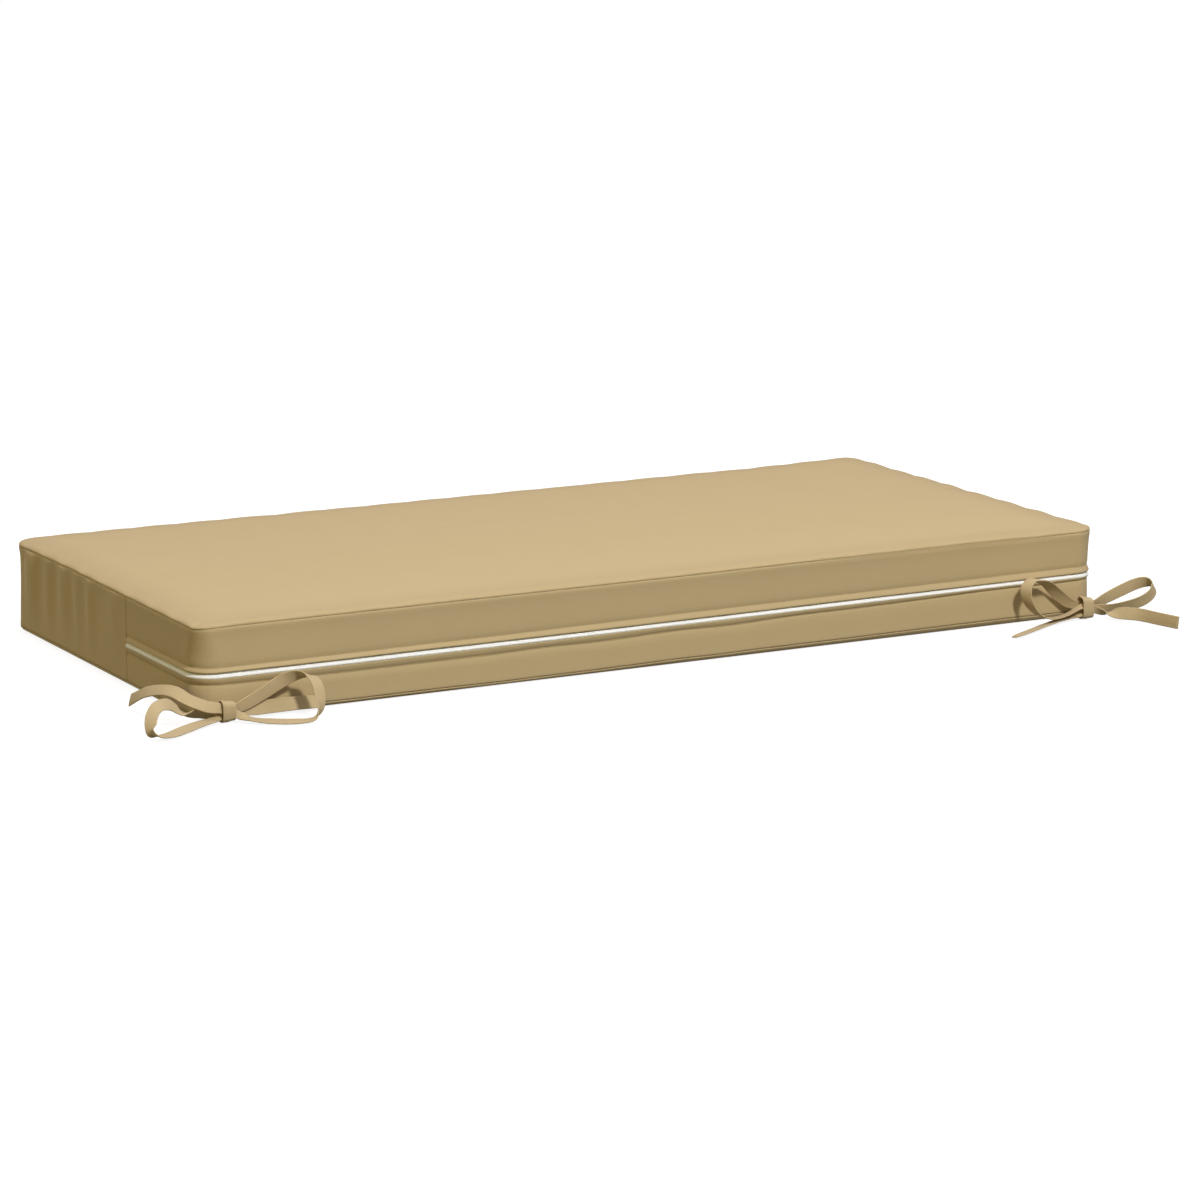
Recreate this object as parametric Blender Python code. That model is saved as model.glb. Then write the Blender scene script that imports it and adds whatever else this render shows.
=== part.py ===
"""Bench cushion: a filled body, side cloths with a zip, and flat straps tied in two bows."""

import math

import bmesh
import bpy
from mathutils import Vector

MM = 0.001

# Body, in metres: X is the long side, -Y the zipped front, z = 0 the surface it lies on.
LENGTH = 1.000
WIDTH = 0.474
CORNER = 0.028
LEAST_CORNER = 0.004
BOTTOM_SEAM = 7.7 * MM
TOP_SEAM = 88.8 * MM
CLOTH = 1.2 * MM
CLEARANCE = 0.4 * MM
GROOVE = 2.0 * MM

# The zipped gusset runs round the front and this far along each short side.
GUSSET_END_Y = -67.5 * MM
GROOVE_END_Y = -67.2 * MM
BAND_START_Y = -66.9 * MM

# Sections along the cushion's side: spans of each upright corner, stations of each long side.
CORNER_STEPS = 6
LONG_STATIONS = 9

# Bottom panel from the flat outwards: inset from the edge, height (mm).
BOTTOM_RINGS = (
    (18.0, 0.0),
    (9.0, 1.2),
    (4.0, 3.2),
    (1.0, 5.6),
    (0.0, 7.4),
)
# Top panel from the seam inwards: inset from the edge, height (mm).
TOP_RINGS = (
    (0.0, 89.2),
    (0.3, 90.1),
    (1.2, 90.8),
    (4.0, 91.4),
    (13.0, 92.1),
    (40.0, 93.3),
    (85.0, 94.4),
    (140.0, 94.9),
    (185.0, 95.0),
)
# Outer face of the side cloth from seam to seam: height, offset from the edge (mm), behind the zip.
SIDE_ROWS = (
    (8.1, -0.3, False),
    (14.0, -1.0, False),
    (22.0, -1.5, False),
    (30.0, -1.8, False),
    (32.0, -1.8, True),
    (41.0, -1.8, True),
    (51.0, -1.8, True),
    (53.0, -1.7, False),
    (66.0, -1.2, False),
    (80.0, -0.7, False),
    (88.4, -0.3, False),
)
# The lips are folded back on themselves, so that they are this far from the edge behind.
LIP_BACK = -3.0 * MM
# Folded lip of the upper cloth, flaring out: height, offset from the edge (mm).
UPPER_LIP = (
    (43.4, -0.5),
    (44.4, -0.2),
    (49.2, -1.0),
    (51.4, -1.8),
)
# Folded lip of the lower cloth, narrower from left to right: share of its height, offset (mm).
LOWER_LIP_EDGE = 38.6 * MM
LOWER_LIP_LEFT = 7.6 * MM
LOWER_LIP_RIGHT = 2.2 * MM
LOWER_LIP = (
    (-0.1, -1.8),
    (0.1, -1.3),
    (0.8, -0.3),
    (1.0, -0.6),
)
LOWER_ROWS = 3
UPPER_ROWS = 4
# Zip tape with the closed coil bulging in the gap: offset from the edge, height (mm).
TAPE_SECTION = (
    (-5.0, 33.0),
    (-3.5, 33.0),
    (-3.5, 39.0),
    (-2.4, 39.5),
    (-1.7, 40.4),
    (-1.7, 41.6),
    (-2.4, 42.5),
    (-3.5, 43.0),
    (-3.5, 50.0),
    (-5.0, 50.0),
)

STRAP = 1.2 * MM
STRAP_STEP = 5.0 * MM
FRONT = -WIDTH / 2
LEFT_KNOT_X = -475.5 * MM
RIGHT_KNOT_X = 476.5 * MM

# Straps, a row for each place along the strap, in mm from the knot's middle at the cushion's front:
# along X, out from the front, up; direction across the strap (X, out, up); width.
TIE_LEFT_A = (
    (4, 10.4, 12.0, 0.0, 0.0, 1.0, 8),
    (-2, 10.2, 12.0, 0.0, 0.1, 1.0, 8),
    (-9, 9.6, 11.6, 0.0, 0.1, 1.0, 9),
    (-18, 8.0, 11.0, 0.0, 0.5, 0.9, 12),
    (-28, 7.0, 11.0, 0.0, 0.6, 0.8, 13),
    (-37, 7.0, 11.5, 0.0, 0.9, 0.4, 13),
    (-43, 7.2, 14.0, -0.1, 0.9, -0.3, 13),
    (-48, 8.0, 18.0, -0.2, 0.8, -0.5, 13),
    (-56, 11.0, 23.0, 0.1, 0.6, -0.7, 13),
    (-70, 19.0, 24.0, 0.5, 0.7, -0.4, 13),
    (-79, 27.0, 18.5, 0.7, 0.7, 0.1, 13),
    (-84, 36.0, 12.0, 0.6, 0.7, 0.4, 13),
    (-86, 43.0, 7.0, 0.1, 0.8, 0.5, 13),
    (-80, 47.0, 4.0, -0.2, 1.0, 0.1, 13),
    (-70, 45.0, 3.6, 0.2, 1.0, -0.1, 13),
    (-50, 34.0, 4.4, 0.4, 0.9, -0.2, 13),
    (-26, 20.5, 5.0, 0.4, 0.9, -0.2, 11),
    (-14, 16.0, 5.6, 0.3, 0.9, -0.3, 9),
    (-7, 13.6, 7.6, 0.1, 0.6, -0.8, 8),
    (0, 12.0, 10.5, 0.0, 0.0, -1.0, 8),
    (7, 11.2, 10.4, 0.0, 0.1, -1.0, 8),
    (16, 9.8, 10.0, 0.0, 0.4, -0.9, 10),
    (28, 9.2, 9.8, 0.1, 0.4, -0.9, 13),
    (45, 8.0, 9.6, 0.0, 0.3, -1.0, 13),
    (70, 6.4, 9.2, 0.0, 0.4, -0.9, 13),
    (97, 5.6, 8.2, 0.0, 0.6, -0.8, 13),
)
TIE_LEFT_B = (
    (-1, 13.9, 12.4, 0.0, 0.0, 1.0, 8),
    (3, 13.9, 12.4, 0.0, 0.0, 1.0, 8),
    (8, 13.6, 12.8, -0.1, 0.1, 1.0, 9),
    (18, 12.8, 15.5, -0.3, 0.1, 1.0, 12),
    (37, 10.5, 23.0, -0.4, 0.1, 0.9, 13),
    (55, 10.0, 32.0, -0.4, 0.0, 0.9, 13),
    (64, 12.0, 36.0, -0.4, 0.2, 0.9, 13),
    (71, 15.0, 38.0, -0.5, 0.4, 0.7, 13),
    (77, 20.5, 38.6, -0.7, 0.5, 0.4, 13),
    (80, 26.5, 36.5, -0.8, 0.5, 0.0, 13),
    (82, 32.0, 31.0, -0.9, 0.3, 0.0, 13),
    (82, 38.0, 21.0, -0.9, 0.3, 0.2, 13),
    (80, 42.5, 13.0, -0.8, 0.5, 0.4, 13),
    (76, 45.5, 7.0, -0.4, 0.8, 0.4, 13),
    (70, 47.0, 3.0, 0.0, 1.0, 0.1, 13),
    (54, 46.0, 2.4, -0.3, 0.9, -0.1, 13),
    (33, 36.0, 3.6, -0.5, 0.8, -0.2, 13),
    (16, 22.5, 7.2, -0.6, 0.7, -0.4, 11),
    (8, 16.3, 10.8, -0.2, 0.1, -1.0, 8),
    (0, 15.6, 12.6, 0.0, 0.1, -1.0, 9),
    (-8, 15.4, 15.2, -0.2, 0.4, -0.9, 10),
    (-18, 14.0, 17.0, -0.3, 0.6, -0.8, 12),
    (-33, 7.0, 23.0, -0.6, 0.5, -0.5, 13),
    (-44, -9.0, 30.0, -0.8, 0.3, -0.6, 13),
    (-53, -43.0, 24.0, -0.6, 0.4, -0.7, 13),
    (-57, -79.0, 9.0, -0.4, 0.4, -0.8, 13),
)
TIE_RIGHT_A = (
    (3, 10.0, 13.4, 0.0, 0.0, 1.0, 8),
    (-1, 10.2, 13.8, 0.0, 0.0, 1.0, 8),
    (-9, 9.4, 15.2, 0.1, 0.1, 1.0, 8),
    (-18, 8.6, 17.0, 0.3, 0.4, 0.8, 11),
    (-33, 8.6, 28.0, 0.5, 0.6, 0.5, 13),
    (-49, 11.0, 41.0, 0.4, 0.8, 0.3, 13),
    (-58, 14.0, 45.0, 0.3, 0.9, 0.2, 13),
    (-67, 16.0, 48.0, 0.2, 1.0, -0.1, 13),
    (-74, 18.0, 47.0, 0.2, 1.0, -0.1, 13),
    (-80, 20.0, 40.0, 0.2, 1.0, 0.0, 13),
    (-79, 21.0, 29.0, 0.0, 1.0, 0.1, 13),
    (-70, 22.0, 16.0, -0.1, 1.0, -0.1, 13),
    (-54, 22.0, 8.0, 0.0, 1.0, -0.2, 13),
    (-32, 18.5, 7.6, 0.1, 1.0, 0.0, 13),
    (-20, 17.0, 11.0, 0.1, 1.0, -0.2, 11),
    (-12, 17.0, 14.2, 0.1, 0.7, -0.7, 9),
    (-4, 16.3, 13.6, 0.0, 0.2, -1.0, 8),
    (4, 16.0, 11.4, -0.3, 0.0, -1.0, 8),
    (10, 18.2, 8.4, -0.1, -0.5, -0.8, 10),
    (15, 22.0, 6.6, 0.3, -0.7, -0.6, 12),
    (19, 26.0, 6.0, 0.7, -0.6, -0.1, 13),
    (22, 31.0, 7.4, 0.6, -0.5, 0.6, 13),
    (25, 37.0, 8.0, 0.4, -0.3, 0.9, 13),
    (35, 54.0, 8.6, 0.5, -0.2, 0.8, 13),
    (42, 79.0, 8.2, 0.5, -0.2, 0.8, 13),
    (48, 104.0, 8.0, 0.4, -0.1, 0.9, 13),
)
TIE_RIGHT_B = (
    (-5, 12.2, 11.8, 0.0, 0.0, 1.0, 8),
    (2, 12.1, 12.6, 0.0, 0.0, 1.0, 8),
    (10, 11.0, 14.8, -0.2, 0.4, 0.9, 9),
    (20, 11.0, 17.4, -0.2, 0.2, 1.0, 12),
    (45, 10.0, 25.0, -0.3, 0.0, 1.0, 13),
    (63, 9.8, 29.8, -0.3, 0.1, 1.0, 13),
    (72, 11.0, 31.0, -0.2, 0.3, 0.9, 13),
    (77, 14.6, 30.6, -0.4, 0.5, 0.7, 13),
    (78.5, 18.6, 28.4, -0.6, 0.5, 0.6, 13),
    (77, 21.6, 25.2, -0.7, 0.3, 0.6, 13),
    (72, 24.4, 20.6, -0.6, 0.2, 0.8, 13),
    (59, 25.5, 15.0, -0.3, 0.2, 0.9, 13),
    (38, 20.4, 10.4, -0.2, 0.4, 0.9, 12),
    (22, 16.6, 9.6, -0.1, 0.4, 0.9, 10),
    (10, 14.4, 10.6, 0.0, 0.0, 1.0, 8),
    (0, 14.0, 10.4, 0.0, -0.1, 1.0, 8),
    (-8, 14.0, 7.6, -0.1, -0.7, 0.6, 9),
    (-20, 14.0, 4.6, -0.3, -0.9, 0.3, 12),
    (-38, 17.5, 3.0, -0.4, -0.9, 0.1, 13),
    (-60, 27.0, 2.3, -0.4, -0.9, -0.1, 13),
    (-84, 39.5, 2.0, -0.4, -0.9, -0.1, 13),
    (-119, 58.0, 2.0, -0.4, -0.9, -0.1, 13),
)

# Wrap of a knot, from its root at the bottom seam round the straps:
# out and up at its left edge, out and up at its right edge (mm).
LEFT_WRAP = (
    (0.1, 6.5, 0.1, 6.5),
    (4.0, 3.6, 4.0, 4.2),
    (8.0, 1.9, 8.0, 3.0),
    (12.0, 1.6, 12.0, 2.9),
    (16.0, 2.0, 16.0, 3.2),
    (18.8, 4.2, 18.4, 5.0),
    (19.6, 8.0, 19.1, 8.6),
    (19.6, 14.0, 19.1, 13.4),
    (18.8, 18.8, 18.4, 17.2),
    (16.0, 21.0, 16.0, 19.0),
    (12.0, 21.2, 12.0, 19.1),
    (8.8, 19.4, 9.0, 17.6),
    (7.4, 15.0, 8.0, 13.6),
    (7.4, 9.0, 8.0, 9.0),
    (7.8, 5.2, 8.3, 5.6),
)
RIGHT_WRAP = (
    (0.1, 6.5, 0.1, 6.5),
    (4.0, 3.8, 4.0, 3.8),
    (8.0, 2.4, 8.0, 2.4),
    (12.0, 2.2, 12.0, 2.2),
    (16.0, 2.6, 16.0, 2.6),
    (19.0, 4.6, 19.0, 4.4),
    (20.0, 8.4, 19.6, 8.0),
    (19.8, 14.0, 19.4, 13.0),
    (18.8, 19.4, 18.2, 17.6),
    (16.0, 21.4, 15.6, 19.6),
    (12.0, 21.6, 12.0, 19.8),
    (8.8, 20.2, 8.8, 18.6),
    (7.4, 15.0, 7.8, 14.0),
    (7.4, 9.0, 7.8, 9.0),
    (7.6, 5.6, 7.9, 5.6),
)
KNOT_WIDTH = 13.0 * MM
WRAP_STEP = 3.0 * MM

CLOTH_COLOUR = (0.52, 0.40, 0.25)
STRAP_COLOUR = (0.55, 0.43, 0.27)
ZIP_COLOUR = (0.82, 0.83, 0.85)
ROUGHNESS = 0.9
SHARP_ANGLE = math.radians(35.0)


def clear_scene():
    for thing in list(bpy.data.objects):
        bpy.data.objects.remove(thing)


def corner_stations(first_angle, side_x, side_y):
    """Stations round one upright corner: normal's angle, side in X, side in Y."""
    step = 90.0 / CORNER_STEPS
    return [(first_angle + step * index, side_x, side_y) for index in range(CORNER_STEPS + 1)]


def long_stations(angle, side_y, direction):
    """Stations along a long side, leaving out its ends."""
    spans = LONG_STATIONS + 1
    shares = [direction * (2 * (index + 1) / spans - 1) for index in range(LONG_STATIONS)]
    return [(angle, share, side_y) for share in shares]


def gusset_stations(end_y):
    """Stations of the zipped side, from the left seam round the front to the right seam."""
    share = end_y / (WIDTH / 2 - CORNER)
    left = [(180.0, -1.0, share), (180.0, -1.0, (share - 1.0) / 2)]
    right = [(0.0, 1.0, (share - 1.0) / 2), (0.0, 1.0, share)]
    front = long_stations(270.0, -1.0, 1.0)
    return left + corner_stations(180.0, -1, -1) + front + corner_stations(270.0, 1, -1) + right


def band_stations():
    """Stations of the plain side, from the right seam round the back to the left seam."""
    share = BAND_START_Y / (WIDTH / 2 - CORNER)
    right = [(0.0, 1.0, share), (0.0, 1.0, 0.0), (0.0, 1.0, 0.5)]
    left = [(180.0, -1.0, 0.5), (180.0, -1.0, 0.0), (180.0, -1.0, share)]
    back = long_stations(90.0, 1.0, -1.0)
    return right + corner_stations(0.0, 1, 1) + back + corner_stations(90.0, -1, 1) + left


def at_station(station, offset, height):
    """Point at an offset outwards from the cushion's plan edge."""
    angle, side_x, side_y = station
    radius = max(CORNER + offset, LEAST_CORNER)
    turn = math.radians(angle)
    x = side_x * (LENGTH / 2 + offset - radius) + radius * math.cos(turn)
    y = side_y * (WIDTH / 2 + offset - radius) + radius * math.sin(turn)
    return Vector((x, y, height))


def add_solid(name, points, faces, colour, collection):
    mesh = bpy.data.meshes.new(name)
    mesh.from_pydata(points, [], faces)
    shell = bmesh.new()
    shell.from_mesh(mesh)
    bmesh.ops.recalc_face_normals(shell, faces=shell.faces)
    shell.to_mesh(mesh)
    shell.free()
    mesh.shade_smooth()
    mesh.set_sharp_from_angle(angle=SHARP_ANGLE)
    material = bpy.data.materials.new(name)
    material.use_nodes = True
    shader = material.node_tree.nodes["Principled BSDF"]
    shader.inputs["Base Color"].default_value = (*colour, 1.0)
    shader.inputs["Roughness"].default_value = ROUGHNESS
    shader.inputs["Metallic"].default_value = 0.0
    mesh.materials.append(material)
    collection.objects.link(bpy.data.objects.new(name, mesh))


def loft(sections):
    """Points and faces of a solid through equal loops, with both ends capped."""
    size = len(sections[0])
    points = [point for section in sections for point in section]
    faces = []
    for span in range(len(sections) - 1):
        here = span * size
        there = here + size
        for index in range(size):
            after = (index + 1) % size
            faces.append((here + index, there + index, there + after, here + after))
    faces.append(tuple(range(size)))
    faces.append(tuple(range(len(points) - 1, len(points) - size - 1, -1)))
    return points, faces


def body_column(station, grooved):
    """One upright line of the body's surface, from the flat underside to the top."""
    column = [at_station(station, -inset * MM, height * MM) for inset, height in BOTTOM_RINGS]
    for height, face, behind_zip in SIDE_ROWS:
        depth = face * MM - CLOTH - CLEARANCE
        if grooved and behind_zip:
            depth -= GROOVE
        column.append(at_station(station, depth, height * MM))
    low = len(BOTTOM_RINGS)
    column[low].z = BOTTOM_SEAM
    column[-1].z = TOP_SEAM
    column += [at_station(station, -inset * MM, height * MM) for inset, height in TOP_RINGS]
    return column


def build_body(collection):
    """Filled body: panels with their crown, and sides drawn in to carry the side cloths."""
    gusset = [body_column(station, True) for station in gusset_stations(GROOVE_END_Y)]
    plain = [body_column(station, False) for station in band_stations()]
    columns = gusset + plain
    size = len(columns[0])
    points = [point for column in columns for point in column]
    faces = []
    for here in range(0, len(points), size):
        there = (here + size) % len(points)
        for row in range(size - 1):
            faces.append((here + row, there + row, there + row + 1, here + row + 1))
    faces.append(tuple(range(0, len(points), size)))
    faces.append(tuple(range(size - 1, len(points), size)))
    add_solid("cushion_body", points, faces, CLOTH_COLOUR, collection)


def side_solid(name, stations, section_of, colour, collection):
    """Solid swept along the cushion's side; section_of gives (offset, height) rows at a place in X."""
    sections = []
    for station in stations:
        rows = section_of(at_station(station, 0.0, 0.0).x)
        sections.append([at_station(station, offset, height) for offset, height in rows])
    points, faces = loft(sections)
    add_solid(name, points, faces, colour, collection)


def cloth_faces(rows):
    """Outer face from the bottom up, and inner face from the top down, of rows of SIDE_ROWS."""
    outer = [(face * MM, height * MM) for height, face, _ in rows]
    inner = [(face - CLOTH, height) for face, height in reversed(outer)]
    return outer, inner


def band_section(_):
    outer, inner = cloth_faces(SIDE_ROWS)
    return outer + inner


def upper_strip_section(_):
    outer, inner = cloth_faces(SIDE_ROWS[-UPPER_ROWS:])
    lip = [(offset * MM, height * MM) for height, offset in UPPER_LIP]
    fold = [(LIP_BACK, lip[-1][1]), (LIP_BACK, lip[0][1])]
    return lip + outer + inner + fold


def lower_strip_section(x):
    share = x / LENGTH + 0.5
    tall = LOWER_LIP_LEFT + share * (LOWER_LIP_RIGHT - LOWER_LIP_LEFT)
    crease = LOWER_LIP_EDGE - tall
    outer, inner = cloth_faces(SIDE_ROWS[:LOWER_ROWS])
    lip = [(offset * MM, crease + part * tall) for part, offset in LOWER_LIP]
    fold = [(LIP_BACK, LOWER_LIP_EDGE), (LIP_BACK, crease)]
    return outer + lip + fold + inner


def tape_section(_):
    return [(offset * MM, height * MM) for offset, height in TAPE_SECTION]


def build_sides(collection):
    gusset = gusset_stations(GUSSET_END_Y)
    side_solid("boxing_band", band_stations(), band_section, CLOTH_COLOUR, collection)
    side_solid("zip_strip_upper", gusset, upper_strip_section, CLOTH_COLOUR, collection)
    side_solid("zip_strip_lower", gusset, lower_strip_section, CLOTH_COLOUR, collection)
    side_solid("zip_tape", gusset, tape_section, ZIP_COLOUR, collection)


def blend(first, second, start, end, at):
    share = (at - start) / (end - start)
    return [a + share * (b - a) for a, b in zip(first, second)]


def smooth_rows(rows, step):
    """Rows of numbers along a smooth curve through the given rows, about a step apart."""
    before_first = [2 * a - b for a, b in zip(rows[0], rows[1])]
    after_last = [2 * a - b for a, b in zip(rows[-1], rows[-2])]
    padded = [before_first, *rows, after_last]
    knots = [0.0]
    for one, two in zip(padded, padded[1:]):
        knots.append(knots[-1] + math.sqrt(math.dist(one[:3], two[:3])))
    made = []
    for index in range(len(rows) - 1):
        p0, p1, p2, p3 = padded[index : index + 4]
        t0, t1, t2, t3 = knots[index : index + 4]
        steps = max(2, math.ceil(math.dist(p1[:3], p2[:3]) / step))
        for part in range(steps):
            t = t1 + (t2 - t1) * part / steps
            middle = blend(p1, p2, t1, t2, t)
            early = blend(blend(p0, p1, t0, t1, t), middle, t0, t2, t)
            late = blend(middle, blend(p2, p3, t2, t3, t), t1, t3, t)
            made.append(blend(early, late, t1, t2, t))
    made.append(list(rows[-1]))
    return made


def run_at(points, index):
    """Direction of a row of points at one of them."""
    return (points[min(index + 1, len(points) - 1)] - points[max(index - 1, 0)]).normalized()


def build_strap(name, table, knot_x, collection):
    """Flat strap with a rectangular section, square to its run at each row."""
    rows = []
    for along, out, up, across_x, across_out, across_up, width in table:
        place = [knot_x + along * MM, FRONT - out * MM, up * MM]
        rows.append([*place, across_x, -across_out, across_up, width * MM])
    rows = smooth_rows(rows, STRAP_STEP)
    centres = [Vector(row[:3]) for row in rows]
    sections = []
    for index, row in enumerate(rows):
        along = run_at(centres, index)
        across = Vector(row[3:6])
        across = (across - across.dot(along) * along).normalized()
        side = across * row[6] / 2
        half = along.cross(across) * STRAP / 2
        low = centres[index] - half
        high = centres[index] + half
        sections.append([low - side, low + side, high + side, high - side])
    points, faces = loft(sections)
    add_solid(name, points, faces, STRAP_COLOUR, collection)


def build_wrap(name, table, knot_x, collection):
    """Knot: one turn of strap round the others, its width along the cushion's front."""
    left = knot_x - KNOT_WIDTH / 2
    right = knot_x + KNOT_WIDTH / 2
    left_rows = [(left, FRONT - out * MM, up * MM) for out, up, _, _ in table]
    right_rows = [(right, FRONT - out * MM, up * MM) for _, _, out, up in table]
    edges = smooth_rows([a + b for a, b in zip(left_rows, right_rows)], WRAP_STEP)
    edges = [(Vector(row[:3]), Vector(row[3:])) for row in edges]
    sections = []
    for index in range(len(edges)):
        section = []
        for side in (0, 1):
            line = [pair[side] for pair in edges]
            half = run_at(line, index).cross(Vector((1.0, 0.0, 0.0))) * STRAP / 2
            section.append((line[index] - half, line[index] + half))
        (left_in, left_out), (right_in, right_out) = section
        sections.append([left_in, right_in, right_out, left_out])
    points, faces = loft(sections)
    add_solid(name, points, faces, STRAP_COLOUR, collection)


def build_ties(collection):
    build_strap("tie_left_a", TIE_LEFT_A, LEFT_KNOT_X, collection)
    build_strap("tie_left_b", TIE_LEFT_B, LEFT_KNOT_X, collection)
    build_wrap("tie_left_knot", LEFT_WRAP, LEFT_KNOT_X, collection)
    build_strap("tie_right_a", TIE_RIGHT_A, RIGHT_KNOT_X, collection)
    build_strap("tie_right_b", TIE_RIGHT_B, RIGHT_KNOT_X, collection)
    build_wrap("tie_right_knot", RIGHT_WRAP, RIGHT_KNOT_X, collection)


def main():
    clear_scene()
    collection = bpy.data.collections.new("bench_cushion")
    bpy.context.scene.collection.children.link(collection)
    build_body(collection)
    build_sides(collection)
    build_ties(collection)


main()
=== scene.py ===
"""Bench cushion: a filled cover with a zipped side and flat straps tied in two bows."""

import math

import bmesh
import bpy
import numpy as np
from mathutils import Matrix, Vector
from mathutils.bvhtree import BVHTree


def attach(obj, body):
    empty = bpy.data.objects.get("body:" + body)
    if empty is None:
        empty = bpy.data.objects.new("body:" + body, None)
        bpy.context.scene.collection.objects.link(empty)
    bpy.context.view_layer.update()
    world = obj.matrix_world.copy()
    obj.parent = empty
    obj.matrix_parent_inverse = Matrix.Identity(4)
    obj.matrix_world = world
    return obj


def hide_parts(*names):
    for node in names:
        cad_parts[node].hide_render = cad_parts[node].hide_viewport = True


bl_info = {
    "name": "Bench cushion",
    "version": (1, 0, 0),
    "blender": (4, 5, 0),
    "location": "3D View > Sidebar > Cushion",
    "description": "Builds a zipped bench cushion with two tied bows round its packed frame",
    "category": "Object",
}

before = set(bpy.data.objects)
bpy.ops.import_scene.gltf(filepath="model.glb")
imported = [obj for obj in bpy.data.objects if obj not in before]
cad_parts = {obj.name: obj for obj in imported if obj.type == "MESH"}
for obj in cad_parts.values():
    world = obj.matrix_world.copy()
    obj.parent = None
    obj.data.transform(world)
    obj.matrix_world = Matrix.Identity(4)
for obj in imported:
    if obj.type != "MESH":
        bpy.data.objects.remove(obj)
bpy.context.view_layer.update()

MM = 0.001
WEAVE_MAP = "weave"
SEAM_MAP = "seam"

# Plan of the cushion, in metres: X is the long side, -Y the zipped front, z = 0 the surface it lies on.
LENGTH = 1.000
WIDTH = 0.474
CORNER = 0.028
LEAST_CORNER = 0.004
FRONT = -WIDTH / 2

# The edge is measured from the middle of the front: positive to the right, negative to the left.
HALF_FRONT = LENGTH / 2 - CORNER
ARC = CORNER * math.pi / 2
SHORT_SIDE = WIDTH - 2 * CORNER
TURNS = np.cumsum([0.0, HALF_FRONT, ARC, SHORT_SIDE, ARC, HALF_FRONT])
EDGE = 2 * TURNS[-1]
# The zipped side ends at an upright seam on each short side, this far from the front's middle.
ZIP_END_Y = -67.2 * MM
SEAM_RUN = TURNS[2] + (ZIP_END_Y - FRONT - CORNER)
SEAM_GAP = 0.25 * MM
# Distance between sections of the sides and of the cover, along the straights and round the corners.
SIDE_STEPS = (3.4 * MM, 2.2 * MM)
COVER_STEPS = (4.2 * MM, 2.4 * MM)
TAPE_STEPS = (5 * MM, 2.2 * MM)

# Underside of the cover, from its middle outwards: inset from the edge, height (mm).
UNDERSIDE = (
    (232, 0), (150, 0), (90, 0), (50, 0), (32, 0), (22, 0), (16, 0), (11.5, 0.03), (8, 0.15),
    (5.6, 0.5), (4.2, 1.05), (3.1, 1.85), (2.3, 2.65), (1.6, 3.5), (1.1, 4.25), (0.9, 4.8),
    (1.1, 5.2), (1.9, 5.45), (3.2, 5.5),
)
# Filling behind the side cloths, from the bottom seam up.
HIDDEN_SIDE = (
    (3.9, 6.6), (4.1, 14), (4.4, 22), (4.6, 29), (6.8, 31), (6.8, 52), (4.6, 54), (4.3, 66),
    (4, 80), (3.8, 87.8),
)
# Top of the cover, from its seam to its middle.
TOP = (
    (3.2, 88.92), (1.4, 88.92), (0.85, 88.95), (0.55, 89.08), (0.38, 89.35), (0.32, 89.75),
    (0.42, 90.3), (0.85, 90.95), (1.6, 91.5), (2.7, 92), (4.2, 92.45), (6.2, 92.85), (8.6, 93.2),
    (12, 93.55), (16, 93.85), (21, 94.05), (28, 94.2), (37, 94.35), (50, 94.5), (68, 94.6),
    (90, 94.7), (115, 94.7), (145, 94.7), (180, 94.7), (210, 94.7), (232, 94.7),
)
# Outer face of the side cloth, from the bottom seam to the top seam: height, offset outwards (mm).
SIDE_LOW = ((6, -3), (5.95, -2), (6.05, -1.2), (6.4, -0.9), (7.1, -0.75), (9, -0.8), (13, -0.9))
SIDE_MIDDLE = ((18, -0.95), (23, -0.97), (29, -1), (36, -1.05), (43, -1.1), (50, -1.1))
SIDE_HIGH = (
    (56, -1.1), (61, -1.05), (66, -0.95), (71, -0.85), (76, -0.7), (80, -0.5), (83, -0.25), (85, 0),
    (86.2, 0.12), (87, 0.12), (87.7, -0.05), (88.25, -0.3), (88.6, -0.6), (88.78, -0.95),
    (88.86, -1.5), (88.86, -3),
)
CLOTH_BACK = -3.1
BEHIND_BACK = 0.3
# Upper zip cloth, from the back of its folded lip round the lip's lower edge to the stitched groove.
UPPER_LIP = (
    (46, -3), (44.6, -2.9), (44, -2.3), (43.8, -1.5), (43.8, -0.5), (44, 0.15), (44.5, 0.4),
    (45.4, 0.25), (46.8, -0.25), (48.2, -0.8), (49.5, -1.3), (50.3, -1.6), (50.8, -1.85),
    (51.3, -1.85), (52.2, -1.5),
)
# Lower zip cloth, from its stitched crease up to its lip: share of the lip's height, offset (mm).
LOWER_LIP = (
    (-0.5, -1.3), (-0.2, -1.6), (-0.05, -2.1), (0.07, -2.05), (0.2, -1.35), (0.36, -0.75),
    (0.55, -0.3), (0.76, 0), (0.92, 0.15), (0.99, 0.05), (1.01, -0.3), (1, -1.2), (0.95, -2.2),
    (0.8, -2.9), (0.5, -3),
)
LIP_TOP = 39.3
MOST_LIP = 7.8
STITCH_HEIGHT = 51.05
STITCH_FACE = -1.85 * MM
# Height of the lower lip along the edge: run (m), height (mm).
LIP_RUNS = (-0.66, -0.5, -0.34, -0.08, 0.13, 0.26, 0.36, 0.66)
LIP_HEIGHTS = (6.4, 6.8, 7.2, 6.4, 5.2, 4.2, 3.4, 2.8)
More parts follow.
